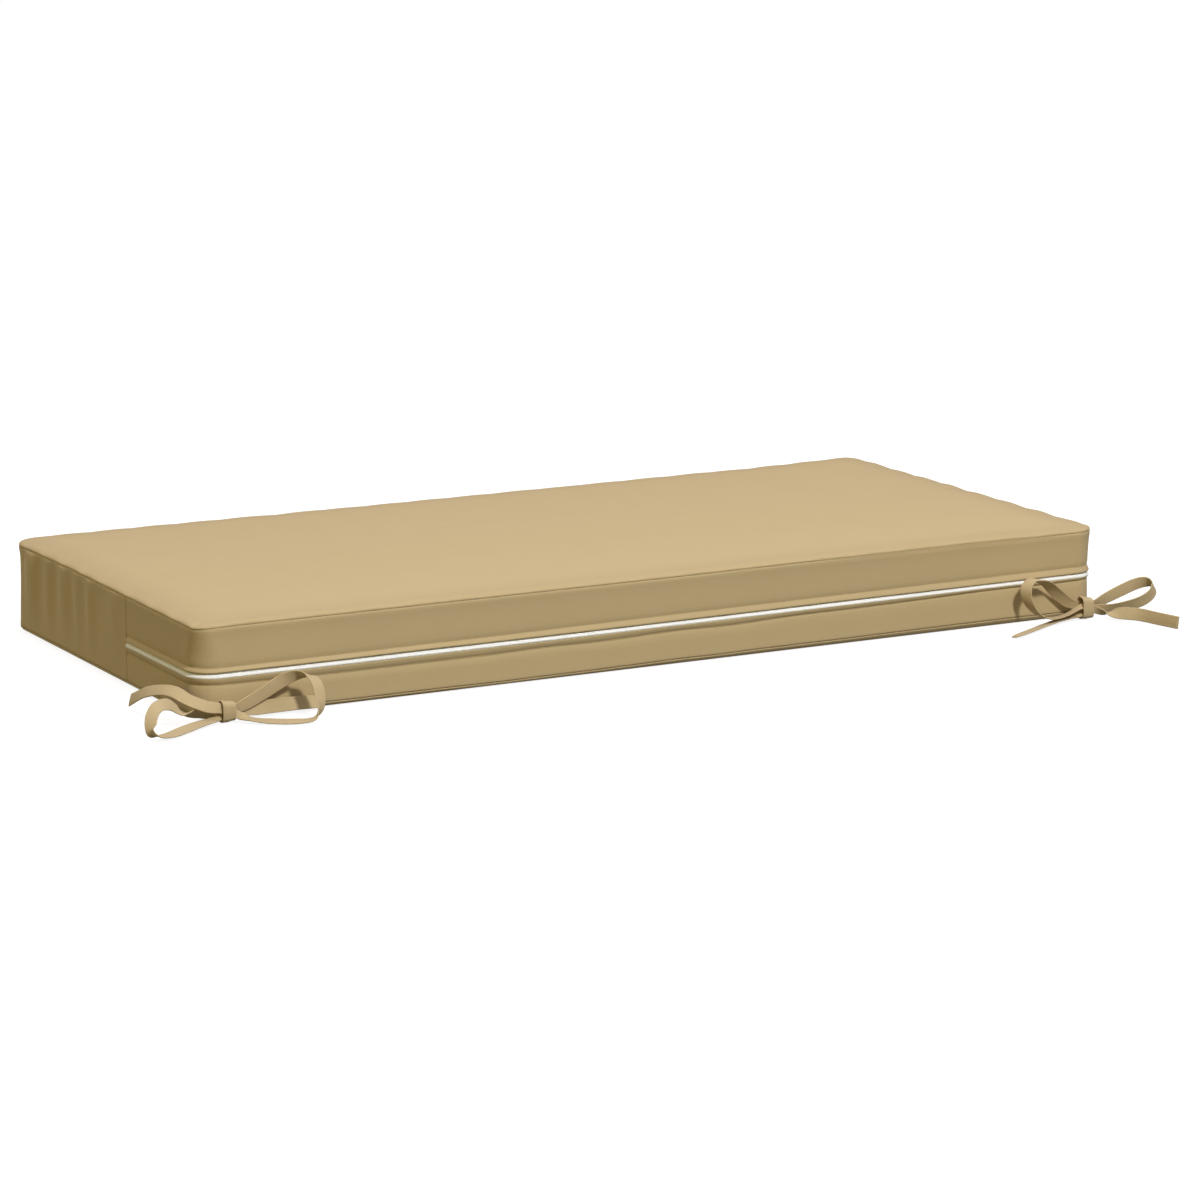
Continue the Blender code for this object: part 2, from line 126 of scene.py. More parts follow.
# How far parts of the zipped side stand above their usual height: run (m), rise (mm).
DRIFT_RUNS = (-0.66, -0.45, -0.336, -0.175, 0.05, 0.28, 0.394, 0.66)
STITCH_DRIFT = (-2.4, -2.6, -2.4, -1.9, -0.6, 0.1, 0.5, 0.6)
UPPER_DRIFT = (-0.2, 0, 0, -0.2, 0.4, 0.8, 1.3, 1.3)
COIL_DRIFT = (-0.4, -0.5, -0.5, -0.5, 0.1, 0.9, 1.3, 1.3)
LOWER_DRIFT = (-0.6, -0.9, -1, -1, -0.2, 0.9, 1.2, 1.2)
RIM_DRIFT = (-0.3, -0.5, -0.8, -1.1, 0, 0.8, 1, 0.5)
# Closed coil of the zip on its tape: height, offset (mm).
TAPE = (
    (33, -5), (33, -4.2), (37.4, -3.9), (38.2, -1.5), (38.9, -0.5), (39.8, -0.5), (41, -1),
    (42.4, -1.7), (43.6, -2.4), (44.6, -3), (45.4, -3.9), (50, -4.2), (50, -5),
)
COIL_HEIGHT = 41.4
COIL_FACE = -0.9
COIL_LEAN = 0.6
COIL_SHIFT = 0.35

# Light and dark uprights of the gathers on the left side: place in y (m), tilt.
LEFT_GATHERS = (
    (-0.067, 0), (-0.045, 0.35), (-0.03, -0.3), (0.004, 0), (0.016, 0.9), (0.031, -1), (0.049, 0.9),
    (0.064, -1), (0.081, 1), (0.106, -1), (0.127, 1), (0.144, -0.9), (0.168, 1), (0.197, -1),
    (0.215, 0.3), (0.24, 0),
)
# Height that the top seam gains along the edge: run (m), rise (mm).
RISE_RUNS = (
    -1.45, -1.25, -1.1, -0.98, -0.9, -0.8, -0.67, -0.57, -0.5, -0.44, -0.3, 0, 0.1, 0.25, 0.34,
    0.42, 0.47, 0.6, 0.9, 0.96, 1.05, 1.45,
)
RISES = (
    -1.8, -1.8, -1.5, -1.6, -1, -0.4, -1.8, -2.8, -3.4, -2.5, -2.3, -2, -1.5, -1, -0.7,
    -1.8, -1.8, -1.2, 0, 0.6, -1, -1.8,
)
# Share of the top seam's groove that is filled, and how far in its two cloths stand where it is closed.
SEAM_FILL = 0.4
CLOSED_SIDE = 0.15 * MM
CLOSED_TOP = 0.4 * MM
# Where the groove closes along the front, and where it opens again by the right corner.
CLOSING = (120 * MM, 250 * MM)
OPENING = (420 * MM, 460 * MM)
# How full the gathers are at each height (m).
GATHER_HEIGHTS = np.array((8, 30, 50, 66, 78, 84, 87, 88.5)) * MM
GATHER_SHARES = (0.05, 0.4, 0.8, 1, 0.9, 0.5, 0.2, 0)
GATHER_SCALE = 9 * MM
RIGHT_GATHERS_END = 0.16
# Radius of the upright corners; the left front one is tighter under the top seam: height, radius (mm).
CORNER_HEIGHTS = (0, 8, 30, 60, 80, 90)
CORNER_RADII = (25, 27, 28, 28, 27, 26)
TIGHT_RADII = (24, 26, 28, 25, 17, 13)
TIGHT_RUNS = (-1.2, -0.99, -0.92, -0.58, -0.45, -0.2)
TIGHT_SHARES = (0, -0.4, -0.4, 1, 1, 0)

# Straps, a row for each place along the strap, in mm from the knot's middle at the cushion's front:
# along X, out from the front, up; direction across the strap (X, out, up); width, if not full.
TIE_LEFT_A = (
    (4, 10.4, 12, 0, 0, 1, 8), (-2, 10.2, 12, 0, 0.1, 1, 8), (-9, 9.6, 11.6, 0, 0.1, 1, 9),
    (-18, 8, 11, 0, 0.5, 0.9, 12), (-28, 7, 11, 0, 0.6, 0.8), (-37, 7, 11.5, 0, 0.9, 0.4),
    (-43, 7.2, 14, -0.1, 0.9, -0.3), (-48, 8, 18, -0.2, 0.8, -0.5), (-56, 11, 23, 0.1, 0.6, -0.7),
    (-70, 19, 24, 0.5, 0.7, -0.4), (-79, 27, 18.5, 0.7, 0.7, 0.1), (-84, 36, 12, 0.6, 0.7, 0.4),
    (-86, 43, 7, 0.1, 0.8, 0.5), (-80, 47, 4, -0.2, 1, 0.1), (-70, 45, 3.6, 0.2, 1, -0.1),
    (-50, 34, 4.4, 0.4, 0.9, -0.2), (-26, 20.5, 5, 0.4, 0.9, -0.2, 11),
    (-14, 16, 5.6, 0.3, 0.9, -0.3, 9), (-7, 13.6, 7.6, 0.1, 0.6, -0.8, 8),
    (0, 12, 10.5, 0, 0, -1, 8), (7, 11.2, 10.4, 0, 0.1, -1, 8), (16, 9.8, 10, 0, 0.4, -0.9, 10),
    (28, 9.2, 9.8, 0.1, 0.4, -0.9), (45, 8, 9.6, 0, 0.3, -1), (70, 6.4, 9.2, 0, 0.4, -0.9),
    (97, 5.6, 8.2, 0, 0.6, -0.8),
)
TIE_LEFT_B = (
    (-1, 13.9, 12.4, 0, 0, 1, 8), (3, 13.9, 12.4, 0, 0, 1, 8), (8, 13.6, 12.8, -0.1, 0.1, 1, 9),
    (18, 12.8, 15.5, -0.3, 0.1, 1, 12), (37, 10.5, 23, -0.4, 0.1, 0.9), (55, 10, 32, -0.4, 0, 0.9),
    (64, 12, 36, -0.4, 0.2, 0.9), (71, 15, 38, -0.5, 0.4, 0.7), (77, 20.5, 38.6, -0.7, 0.5, 0.4),
    (80, 26.5, 36.5, -0.8, 0.5, 0), (82, 32, 31, -0.9, 0.3, 0), (82, 38, 21, -0.9, 0.3, 0.2),
    (80, 42.5, 13, -0.8, 0.5, 0.4), (76, 45.5, 7, -0.4, 0.8, 0.4), (70, 47, 3, 0, 1, 0.1),
    (54, 46, 2.4, -0.3, 0.9, -0.1), (33, 36, 2.9, -0.5, 0.85, -0.1),
    (17, 23.5, 4.4, -0.5, 0.85, -0.1, 11), (9, 17.4, 7.6, -0.4, 0.5, -0.8, 8),
    (0, 15.6, 12.6, 0, 0.1, -1, 9), (-8, 15.4, 15.2, -0.2, 0.4, -0.9, 10),
    (-18, 14, 17, -0.3, 0.6, -0.8, 12), (-33, 7, 23, -0.6, 0.5, -0.5),
    (-44, -9, 30, -0.8, 0.3, -0.6), (-53, -43, 24, -0.6, 0.4, -0.7), (-57, -79, 9, -0.4, 0.4, -0.8),
)
TIE_RIGHT_A = (
    (3, 10, 13.4, 0, 0, 1, 8), (-1, 10.2, 13.8, 0, 0, 1, 8), (-9, 9.4, 15.2, 0.1, 0.1, 1, 8),
    (-18, 8.6, 17, 0.3, 0.4, 0.8, 11), (-33, 8.6, 28, 0.5, 0.6, 0.5), (-49, 11, 41, 0.4, 0.8, 0.3),
    (-58, 14, 45, 0.3, 0.9, 0.2), (-67, 16, 48, 0.2, 1, -0.1), (-74, 18, 47, 0.3, 1, 0),
    (-80, 20, 40, 0.45, 0.9, 0.05), (-79, 21, 29, 0.35, 0.9, 0.1), (-70, 22, 16, 0.1, 1, 0.05),
    (-54, 22, 8, 0.1, 1, 0), (-32, 18.5, 7.6, 0.2, 1, 0.2), (-20, 17, 10.6, 0.3, 0.9, 0.25, 11),
    (-12, 16.8, 13.6, 0.3, 0.9, 0, 9), (-4, 16.3, 13.4, 0, 0.3, -1, 8),
    (4, 16, 11.4, -0.3, 0, -1, 8), (10, 18.2, 8.4, -0.1, -0.5, -0.8, 8.5),
    (15, 22, 6.8, 0.3, -0.7, -0.6, 9.5), (19, 26, 6.4, 0.65, -0.6, 0.1, 11),
    (22, 31, 7.2, 0.55, -0.45, 0.6, 12), (25, 37, 8, 0.4, -0.3, 0.9),
    (35, 54, 8.6, 0.25, -0.15, 0.95), (42, 79, 8.2, 0.14, -0.06, 1), (48, 104, 8, 0.12, -0.05, 1),
)
TIE_RIGHT_B = (
    (-5, 12.2, 11.8, 0, 0, 1, 8), (2, 12.1, 12.6, 0, 0, 1, 8), (10, 11, 14.8, -0.2, 0.4, 0.9, 9),
    (20, 11, 17.4, -0.2, 0.2, 1, 12), (45, 10, 25, -0.3, 0, 1), (63, 9.8, 29.8, -0.3, 0.1, 1),
    (72, 11, 31, -0.2, 0.3, 0.9), (77, 14.6, 30.6, -0.4, 0.5, 0.7),
    (78.5, 18.6, 28.4, -0.6, 0.5, 0.6), (77, 21.6, 25.2, -0.7, 0.3, 0.6),
    (72, 24.4, 20.6, -0.6, 0.2, 0.8), (59, 25.5, 15, -0.3, 0.2, 0.9),
    (38, 20.4, 10.4, -0.2, 0.4, 0.9, 12), (22, 16.6, 9.6, -0.1, 0.4, 0.9, 10),
    (10, 14.4, 10.6, 0, 0, 1, 8), (0, 14, 10.4, 0, -0.1, 1, 8), (-8, 14, 7.6, -0.1, -0.7, 0.6, 9),
    (-20, 14, 4.6, -0.35, -0.85, 0, 12), (-38, 17.5, 3, -0.4, -0.88, -0.12),
    (-60, 27, 2.6, -0.4, -0.87, -0.17), (-84, 39.5, 2.3, -0.4, -0.87, -0.17),
    (-108, 52, 2.2, -0.4, -0.87, -0.16, 12), (-119, 58, 2.2, -0.4, -0.87, -0.15, 7),
)
# Wrap of a knot, from its root at the bottom seam round the straps:
# out and up at its left edge, out and up at its right edge (mm).
LEFT_WRAP = (
    (0.1, 6.5, 0.1, 6.5), (4, 3.6, 4, 4.2), (8, 1.9, 8, 3), (12, 1.6, 12, 2.9), (16, 2, 16, 3.2),
    (18.8, 4.2, 18.4, 5), (19.6, 8, 19.1, 8.6), (19.6, 14, 19.1, 13.4), (18.8, 18.8, 18.4, 17.2),
    (16, 21, 16, 19), (12, 21.2, 12, 19.1), (8.8, 19.4, 9, 17.6), (7.4, 15, 8, 13.6),
    (7.4, 9, 8, 9), (7.8, 5.2, 8.3, 5.6),
)
RIGHT_WRAP = (
    (0.1, 6.5, 0.1, 6.5), (4, 3.6, 4, 3.6), (8, 2, 8, 2), (12, 1.7, 12, 1.7), (16, 2, 16, 2),
    (19, 4, 19, 3.8), (20, 8, 19.6, 7.6), (19.8, 15, 19.4, 13.8), (18.8, 21.2, 18.2, 19),
    (16, 23.4, 15.6, 21), (12, 23.8, 12, 21.2), (8.8, 22, 8.8, 19.8), (7.4, 16, 7.8, 15),
    (7.4, 9, 7.8, 9), (7.6, 5.2, 7.9, 5.2),
)
LEFT_KNOT_X = -475.5 * MM
RIGHT_KNOT_X = 476.5 * MM
RIGHT_WRAP_X = RIGHT_KNOT_X - 2.4 * MM
FULL_WIDTH = 13
STRAP_WIDTH = FULL_WIDTH * MM
STRAP_STEP = 2.0 * MM
WRAP_STEP = 1.0 * MM
# Half of a strap's section, from one edge to the other: share of the width, share of the thickness.
STRAP_SECTION = (
    (-1, 0), (-0.985, 0.55), (-0.94, 0.9), (-0.84, 1), (-0.72, 0.86), (-0.5, 0.98), (-0.2, 1),
    (0.2, 1), (0.5, 0.98), (0.72, 0.86), (0.84, 1), (0.94, 0.9), (0.985, 0.55),
)
# Creases of a knot's wrap: place across it, width, height (mm), lean, and length of its wander.
WRAP_CREASES = (
    (-0.45, 0.16, -0.32, 0.25, 9 * MM),
    (0.3, 0.14, -0.28, -0.3, 7 * MM),
    (0.0, 0.25, 0.25, 0.3, 11 * MM),
)
# Rings of the small rods that are the coil's turns and the stitches: share of the length, fullness.
ROD_RINGS = ((-0.42, 0.72), (-0.2, 1.0), (0.2, 1.0), (0.42, 0.72))
ROD_SIDES = 6
# Turns of the zip's coil and stitches: length, width, depth.
COIL_TURN = (4.4 * MM, 0.95 * MM, 0.9 * MM)
STITCH_SECTION = (0.42 * MM, 0.4 * MM)
STITCH_SHARE = 0.82
STRAP_TWILL = 0.7 * MM
TAPE_THREAD = 0.5 * MM
# Painted shade: the panel's colour is darkened over this distance from its seams, standing in for the
# shade where its edge rounds down.
SEAM_SHADE_REACH = 0.045
# Darkest and lightest shade of a finish, as shares of its colour.
CLOTH_SHADES = (0.9, 1.1)
FILAMENT_SHADES = (0.95, 1.03)

# Uneven lines along the edge: distance between bumps, seed.
RIM_RIPPLE = (48 * MM, 17)
SIDE_RIPPLE = (31 * MM, 5)
LIP_EDGE_RIPPLE = (90 * MM, 3)
LIP_HEIGHT_RIPPLE = (70 * MM, 8)
LIP_TOP_RIPPLE = (55 * MM, 9)
WIDE_WAVES = (46 * MM, 12)
FINE_WAVES = (21 * MM, 13)
SCALLOP_RIPPLE = (90 * MM, 14)
STRAP_WANDER = 17 * MM

# Top of the cover: waves and scallops by the seam, and how far in they reach.
WAVE_HEIGHT = 0.8 * MM
SCALLOP_LENGTH = 52 * MM
SCALLOP_HEIGHT = 1.5 * MM
SWELL_INSETS = np.array((0, 1, 5, 12, 30)) * MM
SWELL_SHARES = (0.1, 0.5, 1.0, 0.6, 0.0)
TOP_SEAM_INSET = 3.2 * MM
UNDER_ROWS = 7 * MM
TOP_HEIGHT = 90 * MM
CORNER_REACH = 90 * MM
# Cloth simulation of the top: voxels, pressure, frames, and what is held still.
VOXEL = 6 * MM
PRESSURE = 4.0
FRAMES = 20
HELD_BELOW = 90 * MM
HELD_MARGIN = 5 * MM
SIM_TOP = 80 * MM

# Camera: turn and rise in degrees, then how far back, right and up it stands (m).
CAMERA_TURN = -28.573
CAMERA_RISE = 11.768
CAMERA_BACK = 4.165
CAMERA_RIGHT = 0.04165
CAMERA_UP = 0.02095
FLOOR_REACH = 60.0
FLOOR_DROP = 0.3 * MM
FLOOR_GLOW = 0.86
# Lamps: name, setting of its power, place, size, colour.
LAMPS = (
    ("front_light", "front", (0.0, -3.3, 2.95), 0.45, (1.0, 1.0, 0.94)),
    ("overhead_light", "overhead", (0.1, 0.35, 3.4), 2.6, (1.0, 0.965, 0.97)),
)
# Light from each way round the studio.
HORIZON_COLOUR = (0.22, 0.225, 0.20, 1.0)
LEFT_COLOUR = (0.74, 0.62, 0.12, 1.0)
ZENITH_COLOUR = (0.50, 0.48, 0.55, 1.0)
BELOW_COLOUR = (0.11, 0.09, 0.04, 1.0)
LEFT_WAY = (-1.0, 0.2, 0.0)


def smooth_share(value, low, high):
    """0 below low, 1 above high, and a smooth step between."""
    share = np.clip((np.asarray(value, float) - low) / (high - low), 0.0, 1.0)
    return share * share * (3.0 - 2.0 * share)


def short_way(run):
    """Run along the closed edge, from the front's middle the shorter way."""
    return np.mod(np.asarray(run, float) + EDGE / 2, EDGE) - EDGE / 2


def along_edge(run, offset, height):
    """Points at a run along the plan's edge, an offset outwards from it, and a height."""
    run, offset, height = np.broadcast_arrays(short_way(run), offset, height)
    hand = np.where(run < 0.0, -1.0, 1.0)
    way = np.abs(run)
    turn = np.radians(np.interp(way, TURNS, (270.0, 270.0, 360.0, 360.0, 450.0, 450.0)))
    share_x = np.interp(way, TURNS, (0.0, 1.0, 1.0, 1.0, 1.0, 0.0))
    share_y = np.interp(way, TURNS, (-1.0, -1.0, -1.0, 1.0, 1.0, 1.0))
    heights = np.array(CORNER_HEIGHTS) * MM
    usual = np.interp(height, heights, np.array(CORNER_RADII) * MM)
    tight = np.interp(height, heights, np.array(TIGHT_RADII) * MM)
    corner = usual + np.interp(run, TIGHT_RUNS, TIGHT_SHARES) * (tight - usual)
    radius = np.maximum(corner + offset, LEAST_CORNER)
    x = hand * (share_x * (LENGTH / 2 + offset - radius) + radius * np.cos(turn))
    y = share_y * (WIDTH / 2 + offset - radius) + radius * np.sin(turn)
    return np.stack([x, y, height], axis=-1)


def ripple(run, spacing, seed):
    """Smooth bumps from -1 to 1 along the closed edge, about a spacing apart."""
    count = round(EDGE / spacing)
    heights = np.random.default_rng(seed).uniform(-1.0, 1.0, count)
    place = np.mod(run, EDGE) / EDGE * count
    cell = np.floor(place).astype(int)
    share = smooth_share(place - cell, 0.0, 1.0)
    return heights[cell % count] * (1.0 - share) + heights[(cell + 1) % count] * share


def runs_between(first, last, step, corner_step):
    """Runs from first to last, closer together round the corners."""
    corners = [hand * turn + lap for lap in (0.0, EDGE) for hand in (-1, 1) for turn in TURNS[1:5]]
    breaks = [first, *sorted(turn for turn in corners if first < turn < last), last]
    runs = []
    for start, end in zip(breaks, breaks[1:]):
        width = corner_step if abs(end - start - ARC) < 1e-6 else step
        runs.append(np.linspace(start, end, max(2, math.ceil((end - start) / width)), endpoint=False))
    return np.append(np.concatenate(runs), last)


def with_seam_ends(runs):
    """The same runs with close ones added at both ends, where the cloth turns into a seam."""
    ends = np.array((0.0, 0.15, 0.35, 0.6, 0.9, 1.3, 1.8, 2.5)) * MM
    inside = runs[(runs > runs[0] + 3.2 * MM) & (runs < runs[-1] - 3.2 * MM)]
    return np.concatenate([runs[0] + ends, inside, (runs[-1] - ends)[::-1]])


def seam_turn(runs):
    """How far the cloth turns in near its two end seams."""
    near = np.minimum(runs - runs[0], runs[-1] - runs)
    share = np.clip(1.0 - near / (1.4 * MM), 0.0, 1.0)
    return -1.5 * MM * (1.0 - np.sqrt(1.0 - share * share))


def lengths_along(points):
    """Distance from the first point to each point of a polyline."""
    return np.concatenate([[0.0], np.cumsum(np.linalg.norm(np.diff(points, axis=0), axis=1))])


def unit(vectors):
    """The same directions with length 1."""
    return vectors / np.linalg.norm(vectors, axis=-1, keepdims=True)


def edge_ways(runs, offset, height, reach):
    """Directions along the plan's edge and outwards from it."""
    ends = [along_edge(runs + step, offset, height) for step in (-reach, reach)]
    travel = unit(ends[1] - ends[0])
    return travel, unit(np.cross(travel, (0.0, 0.0, 1.0)))


def weave_of(runs, line):
    """Each point's place in the weave, from its run along the piece and its place across."""
    weave = np.empty((len(runs), len(line), 2))
    weave[:, :, 0] = runs[:, None]
    weave[:, :, 1] = line
    return weave


def linked(name, data):
    """A new object with its data, in the scene."""
    made = bpy.data.objects.new(name, data)
    bpy.context.scene.collection.objects.link(made)
    return made


def new_piece(name, points, faces, corners, material, seam=None):
    """Closed mesh piece with outward normals; corners gives each face corner's place in the weave,
    and seam each point's distance from the nearest seam."""
    mesh = bpy.data.meshes.new(name)
    mesh.from_pydata(points, [], faces)
    layer = mesh.uv_layers.new(name=WEAVE_MAP)
    layer.data.foreach_set("uv", np.asarray(corners, np.float32).reshape(-1))
    if seam is not None:
        users = np.concatenate([np.asarray(face) for face in faces])
        distance = np.column_stack([np.ravel(seam)[users], np.zeros(len(users))])
        layer = mesh.uv_layers.new(name=SEAM_MAP)
        layer.data.foreach_set("uv", distance.astype(np.float32).reshape(-1))
    mesh.shade_smooth()
    shell = bmesh.new()
    shell.from_mesh(mesh)
    bmesh.ops.recalc_face_normals(shell, faces=shell.faces)
    for face in shell.faces:
        face.smooth = len(face.verts) <= 4
    shell.to_mesh(mesh)
    shell.free()
    mesh.materials.append(material)
    return linked(name, mesh)


def loft_faces(rows, columns):
    """Faces between rows of equal closed sections, then a cap at each end."""
    faces = []
    for here in range(0, (rows - 1) * columns, columns):
        there = here + columns
        for column in range(columns):
            after = (column + 1) % columns
            faces.append((here + column, there + column, there + after, here + after))
    return faces, [tuple(range(row * columns, (row + 1) * columns)) for row in (0, rows - 1)]


def lofted(name, grid, weave, material, seam=None):
    """Piece through rows of equal closed sections, capped at both ends. weave has one column more."""
    rows, columns = grid.shape[:2]
    faces, caps = loft_faces(rows, columns)
    faces += caps
    corners = []
    for row in range(rows - 1):
        for column in range(columns):
            corners += [weave[row, column], weave[row + 1, column]]
            corners += [weave[row + 1, column + 1], weave[row, column + 1]]
    for row in (0, rows - 1):
        corners += list(weave[row, :-1])
    return new_piece(name, grid.reshape(-1, 3).tolist(), faces, corners, material, seam)


def rods(name, centres, runs, outs, size, material):
    """Many small rounded rods in one piece: size is length, width and depth."""
    length, width, depth = size
    shape = [(-0.5, 0.0, 0.0)]
    for share, fullness in ROD_RINGS:
        for turn in np.arange(ROD_SIDES) * math.tau / ROD_SIDES:
            shape.append((share, 0.5 * fullness * math.cos(turn), 0.5 * fullness * math.sin(turn)))
    shape.append((0.5, 0.0, 0.0))
    shape = np.array(shape)
    tip = len(shape) - 1
    last = tip - ROD_SIDES
    faces = [(0, 1 + (side + 1) % ROD_SIDES, 1 + side) for side in range(ROD_SIDES)]
    for ring in range(1, last, ROD_SIDES):
        for side in range(ROD_SIDES):
            here, after = ring + side, ring + (side + 1) % ROD_SIDES
            faces.append((here, after, after + ROD_SIDES, here + ROD_SIDES))
    faces += [(tip, last + side, last + (side + 1) % ROD_SIDES) for side in range(ROD_SIDES)]
    sides = np.cross(outs, runs)
    points = (
        centres[:, None]
        + shape[None, :, :1] * length * runs[:, None]
        + shape[None, :, 1:2] * width * sides[:, None]
        + shape[None, :, 2:] * depth * outs[:, None]
    )
    made = []
    for index in range(len(centres)):
        made += [tuple(index * len(shape) + corner for corner in face) for face in faces]
    flat = points.reshape(-1, 3)
    corners = [(shape[corner % len(shape)][:2] * length).tolist() for face in made for corner in face]
    return new_piece(name, flat.tolist(), made, corners, material)


def placed(piece, slot, *nodes):
    """The piece rides on the body and stands for CAD nodes, which it hides; slot is not used."""
    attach(piece, "root")
    if nodes:
        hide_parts(*nodes)
    return piece


class Socket:
    """A shader node's output, so that maths on it reads as an expression."""

    def __init__(self, finish, socket):
        self.finish = finish
        self.socket = socket

    def __add__(self, other):
        return self.finish.maths("ADD", self, other)

    def __sub__(self, other):
        return self.finish.maths("SUBTRACT", self, other)

    def __rsub__(self, other):
        return self.finish.maths("SUBTRACT", other, self)

    def __mul__(self, other):
        return self.finish.maths("MULTIPLY", self, other)

    __radd__ = __add__
    __rmul__ = __mul__


class Finish:
    """A finish being made from shader nodes."""

    def __init__(self, tree):
        self.tree = tree

    def feed(self, target, value):
        if isinstance(value, Socket):
            self.tree.links.new(value.socket, target)
        else:
            target.default_value = value

    def node(self, kind, settings=(), inputs=(), output=0):
        """Adds a node, with its settings first, and gives one of its outputs."""
        node = self.tree.nodes.new(kind)
        for name, value in dict(settings).items():
            setattr(node, name, value)
        for name, value in dict(inputs).items():
            self.feed(node.inputs[name], value)
        return Socket(self, node.outputs[output])

    def maths(self, operation, *values):
        return self.node("ShaderNodeMath", {"operation": operation}, enumerate(values))

    def stretch(self, place, *scales):
        settings = {"operation": "MULTIPLY"}
        return self.node("ShaderNodeVectorMath", settings, {0: place, 1: scales})

    def mix(self, share, first, second):
        settings = {"data_type": "RGBA"}
        return self.node("ShaderNodeMix", settings, {0: share, 6: first, 7: second}, 2)

    def ramp(self, value, low, high):
        settings = {"interpolation_type": "SMOOTHSTEP"}
        return self.node("ShaderNodeMapRange", settings, {0: value, 1: low, 2: high})

    def noise(self, place, scale, detail=2.0):
        inputs = {"Vector": place, "Scale": scale, "Detail": detail}
        return self.node("ShaderNodeTexNoise", (), inputs)


def new_finish(name, values):
    """A named material and the finish of its main shader, with the shader's plain values set."""
    material = bpy.data.materials.new(name)
    material.use_nodes = True
    finish = Finish(material.node_tree)
    shader = material.node_tree.nodes["Principled BSDF"]
    for socket, value in values.items():
        shader.inputs[socket].default_value = value
    return material, finish, shader


def axis(finish, place, index):
    """One number of a place: 0 along, 1 across."""
    return finish.node("ShaderNodeSeparateXYZ", (), {0: place}, index)


def surface(finish, shader, tone, colour, shades, roughness, relief, depth, height):
    """Feeds what varies over a finish: its colour between two shades, its roughness and its relief."""
    tones = [(*(channel * factor for channel in colour), 1.0) for factor in shades]
    finish.feed(shader.inputs["Base Color"], finish.mix(tone, *tones))
    finish.feed(shader.inputs["Roughness"], roughness)
    bump = {"Strength": relief, "Distance": depth, "Height": height}
    finish.feed(shader.inputs["Normal"], finish.node("ShaderNodeBump", (), bump))


def woven_finish(name, colour, thread, relief, sheen, painted_seam_shade=False):
    """Plain-woven cloth: crossing threads, uneven yarn, faint mottling and a soft sheen. When asked,
    shade is painted into its colour towards its seams, where the cloth's edge rounds down."""
    values = {"Sheen Weight": sheen, "Sheen Roughness": 0.45, "Specular IOR Level": 0.25}
    material, finish, shader = new_finish(name, values)
    place = finish.node("ShaderNodeUVMap", {"uv_map": WEAVE_MAP})
    waves = [finish.maths("SINE", axis(finish, place, index) * (math.pi / thread)) for index in (0, 1)]
    crossing = waves[0] * waves[1]
    warp = finish.noise(finish.stretch(place, 1.0, 0.03, 1.0), 1.1 / thread)
    weft = finish.noise(finish.stretch(place, 0.03, 1.0, 1.0), 1.1 / thread)
    mottle = finish.noise(place, 22.0, 3.0)
    tone = 0.5 + 0.05 * crossing + 0.35 * (warp - 0.5) + 0.35 * (weft - 0.5) + 0.2 * (mottle - 0.5)
    # Painted shade: the colour darkens towards the seams, by each point's distance from the nearest
    # seam.
    if painted_seam_shade:
        distance = axis(finish, finish.node("ShaderNodeUVMap", {"uv_map": SEAM_MAP}), 0)
        tone = tone - 0.45 + 0.45 * finish.ramp(distance, 0.0, SEAM_SHADE_REACH)
    height = 0.5 * crossing + 0.7 * warp + 0.7 * weft
    roughness = 0.78 + 0.16 * warp
    surface(finish, shader, tone, colour, CLOTH_SHADES, roughness, relief, 0.12 * MM, height)
    return material


def strap_finish(name, colour, thread, relief):
    """Folded cloth strap: fine twill, uneven yarn along it and faint mottling."""
    values = {"Sheen Weight": 0.15, "Sheen Roughness": 0.45, "Specular IOR Level": 0.25}
    material, finish, shader = new_finish(name, values)
    place = finish.node("ShaderNodeUVMap", {"uv_map": WEAVE_MAP})
    along, across = [axis(finish, place, index) for index in (0, 1)]
    twill = finish.maths("SINE", (along + across) * (math.tau / thread))
    yarn = finish.noise(finish.stretch(place, 0.04, 1.0, 1.0), 1.2 / thread)
    mottle = finish.noise(place, 45.0, 3.0)
    tone = 0.5 + 0.08 * twill + 0.4 * (yarn - 0.5) + 0.5 * (mottle - 0.5)
    height = 0.5 * twill + 0.8 * yarn
    roughness = 0.76 + 0.18 * yarn
    surface(finish, shader, tone, colour, CLOTH_SHADES, roughness, relief, 0.12 * MM, height)
    return material


def filament_finish(name, colour, roughness):
    """Wound or spun polyester filament, with slight streaks."""
    material, finish, shader = new_finish(name, {"Specular IOR Level": 0.4})
    place = finish.node("ShaderNodeUVMap", {"uv_map": WEAVE_MAP})
    streaks = finish.noise(finish.stretch(place, 1.0, 0.2, 1.0), 900.0)
    uneven = roughness + 0.12 * streaks
    surface(finish, shader, streaks, colour, FILAMENT_SHADES, uneven, 0.25, 0.05 * MM, streaks)
    return material


class CoverSettings(bpy.types.PropertyGroup):
    cloth: bpy.props.FloatVectorProperty(
        name="Cloth", description="Colour of the cover's cloth", subtype="COLOR",
        default=(0.52, 0.40, 0.223), min=0.0, max=1.0,
    )
    thread: bpy.props.FloatProperty(
        name="Thread", description="Distance between threads of the weave", unit="LENGTH",
        default=0.6 * MM, precision=5,
    )
    crown: bpy.props.FloatProperty(
        name="Crown", description="Most that the top swells over its filling", unit="LENGTH",
        default=2.0 * MM, precision=4,
    )
    gather: bpy.props.FloatProperty(
        name="Gather", description="Depth of the gathers along the top seam", unit="LENGTH",
        default=3.1 * MM, precision=4,
    )


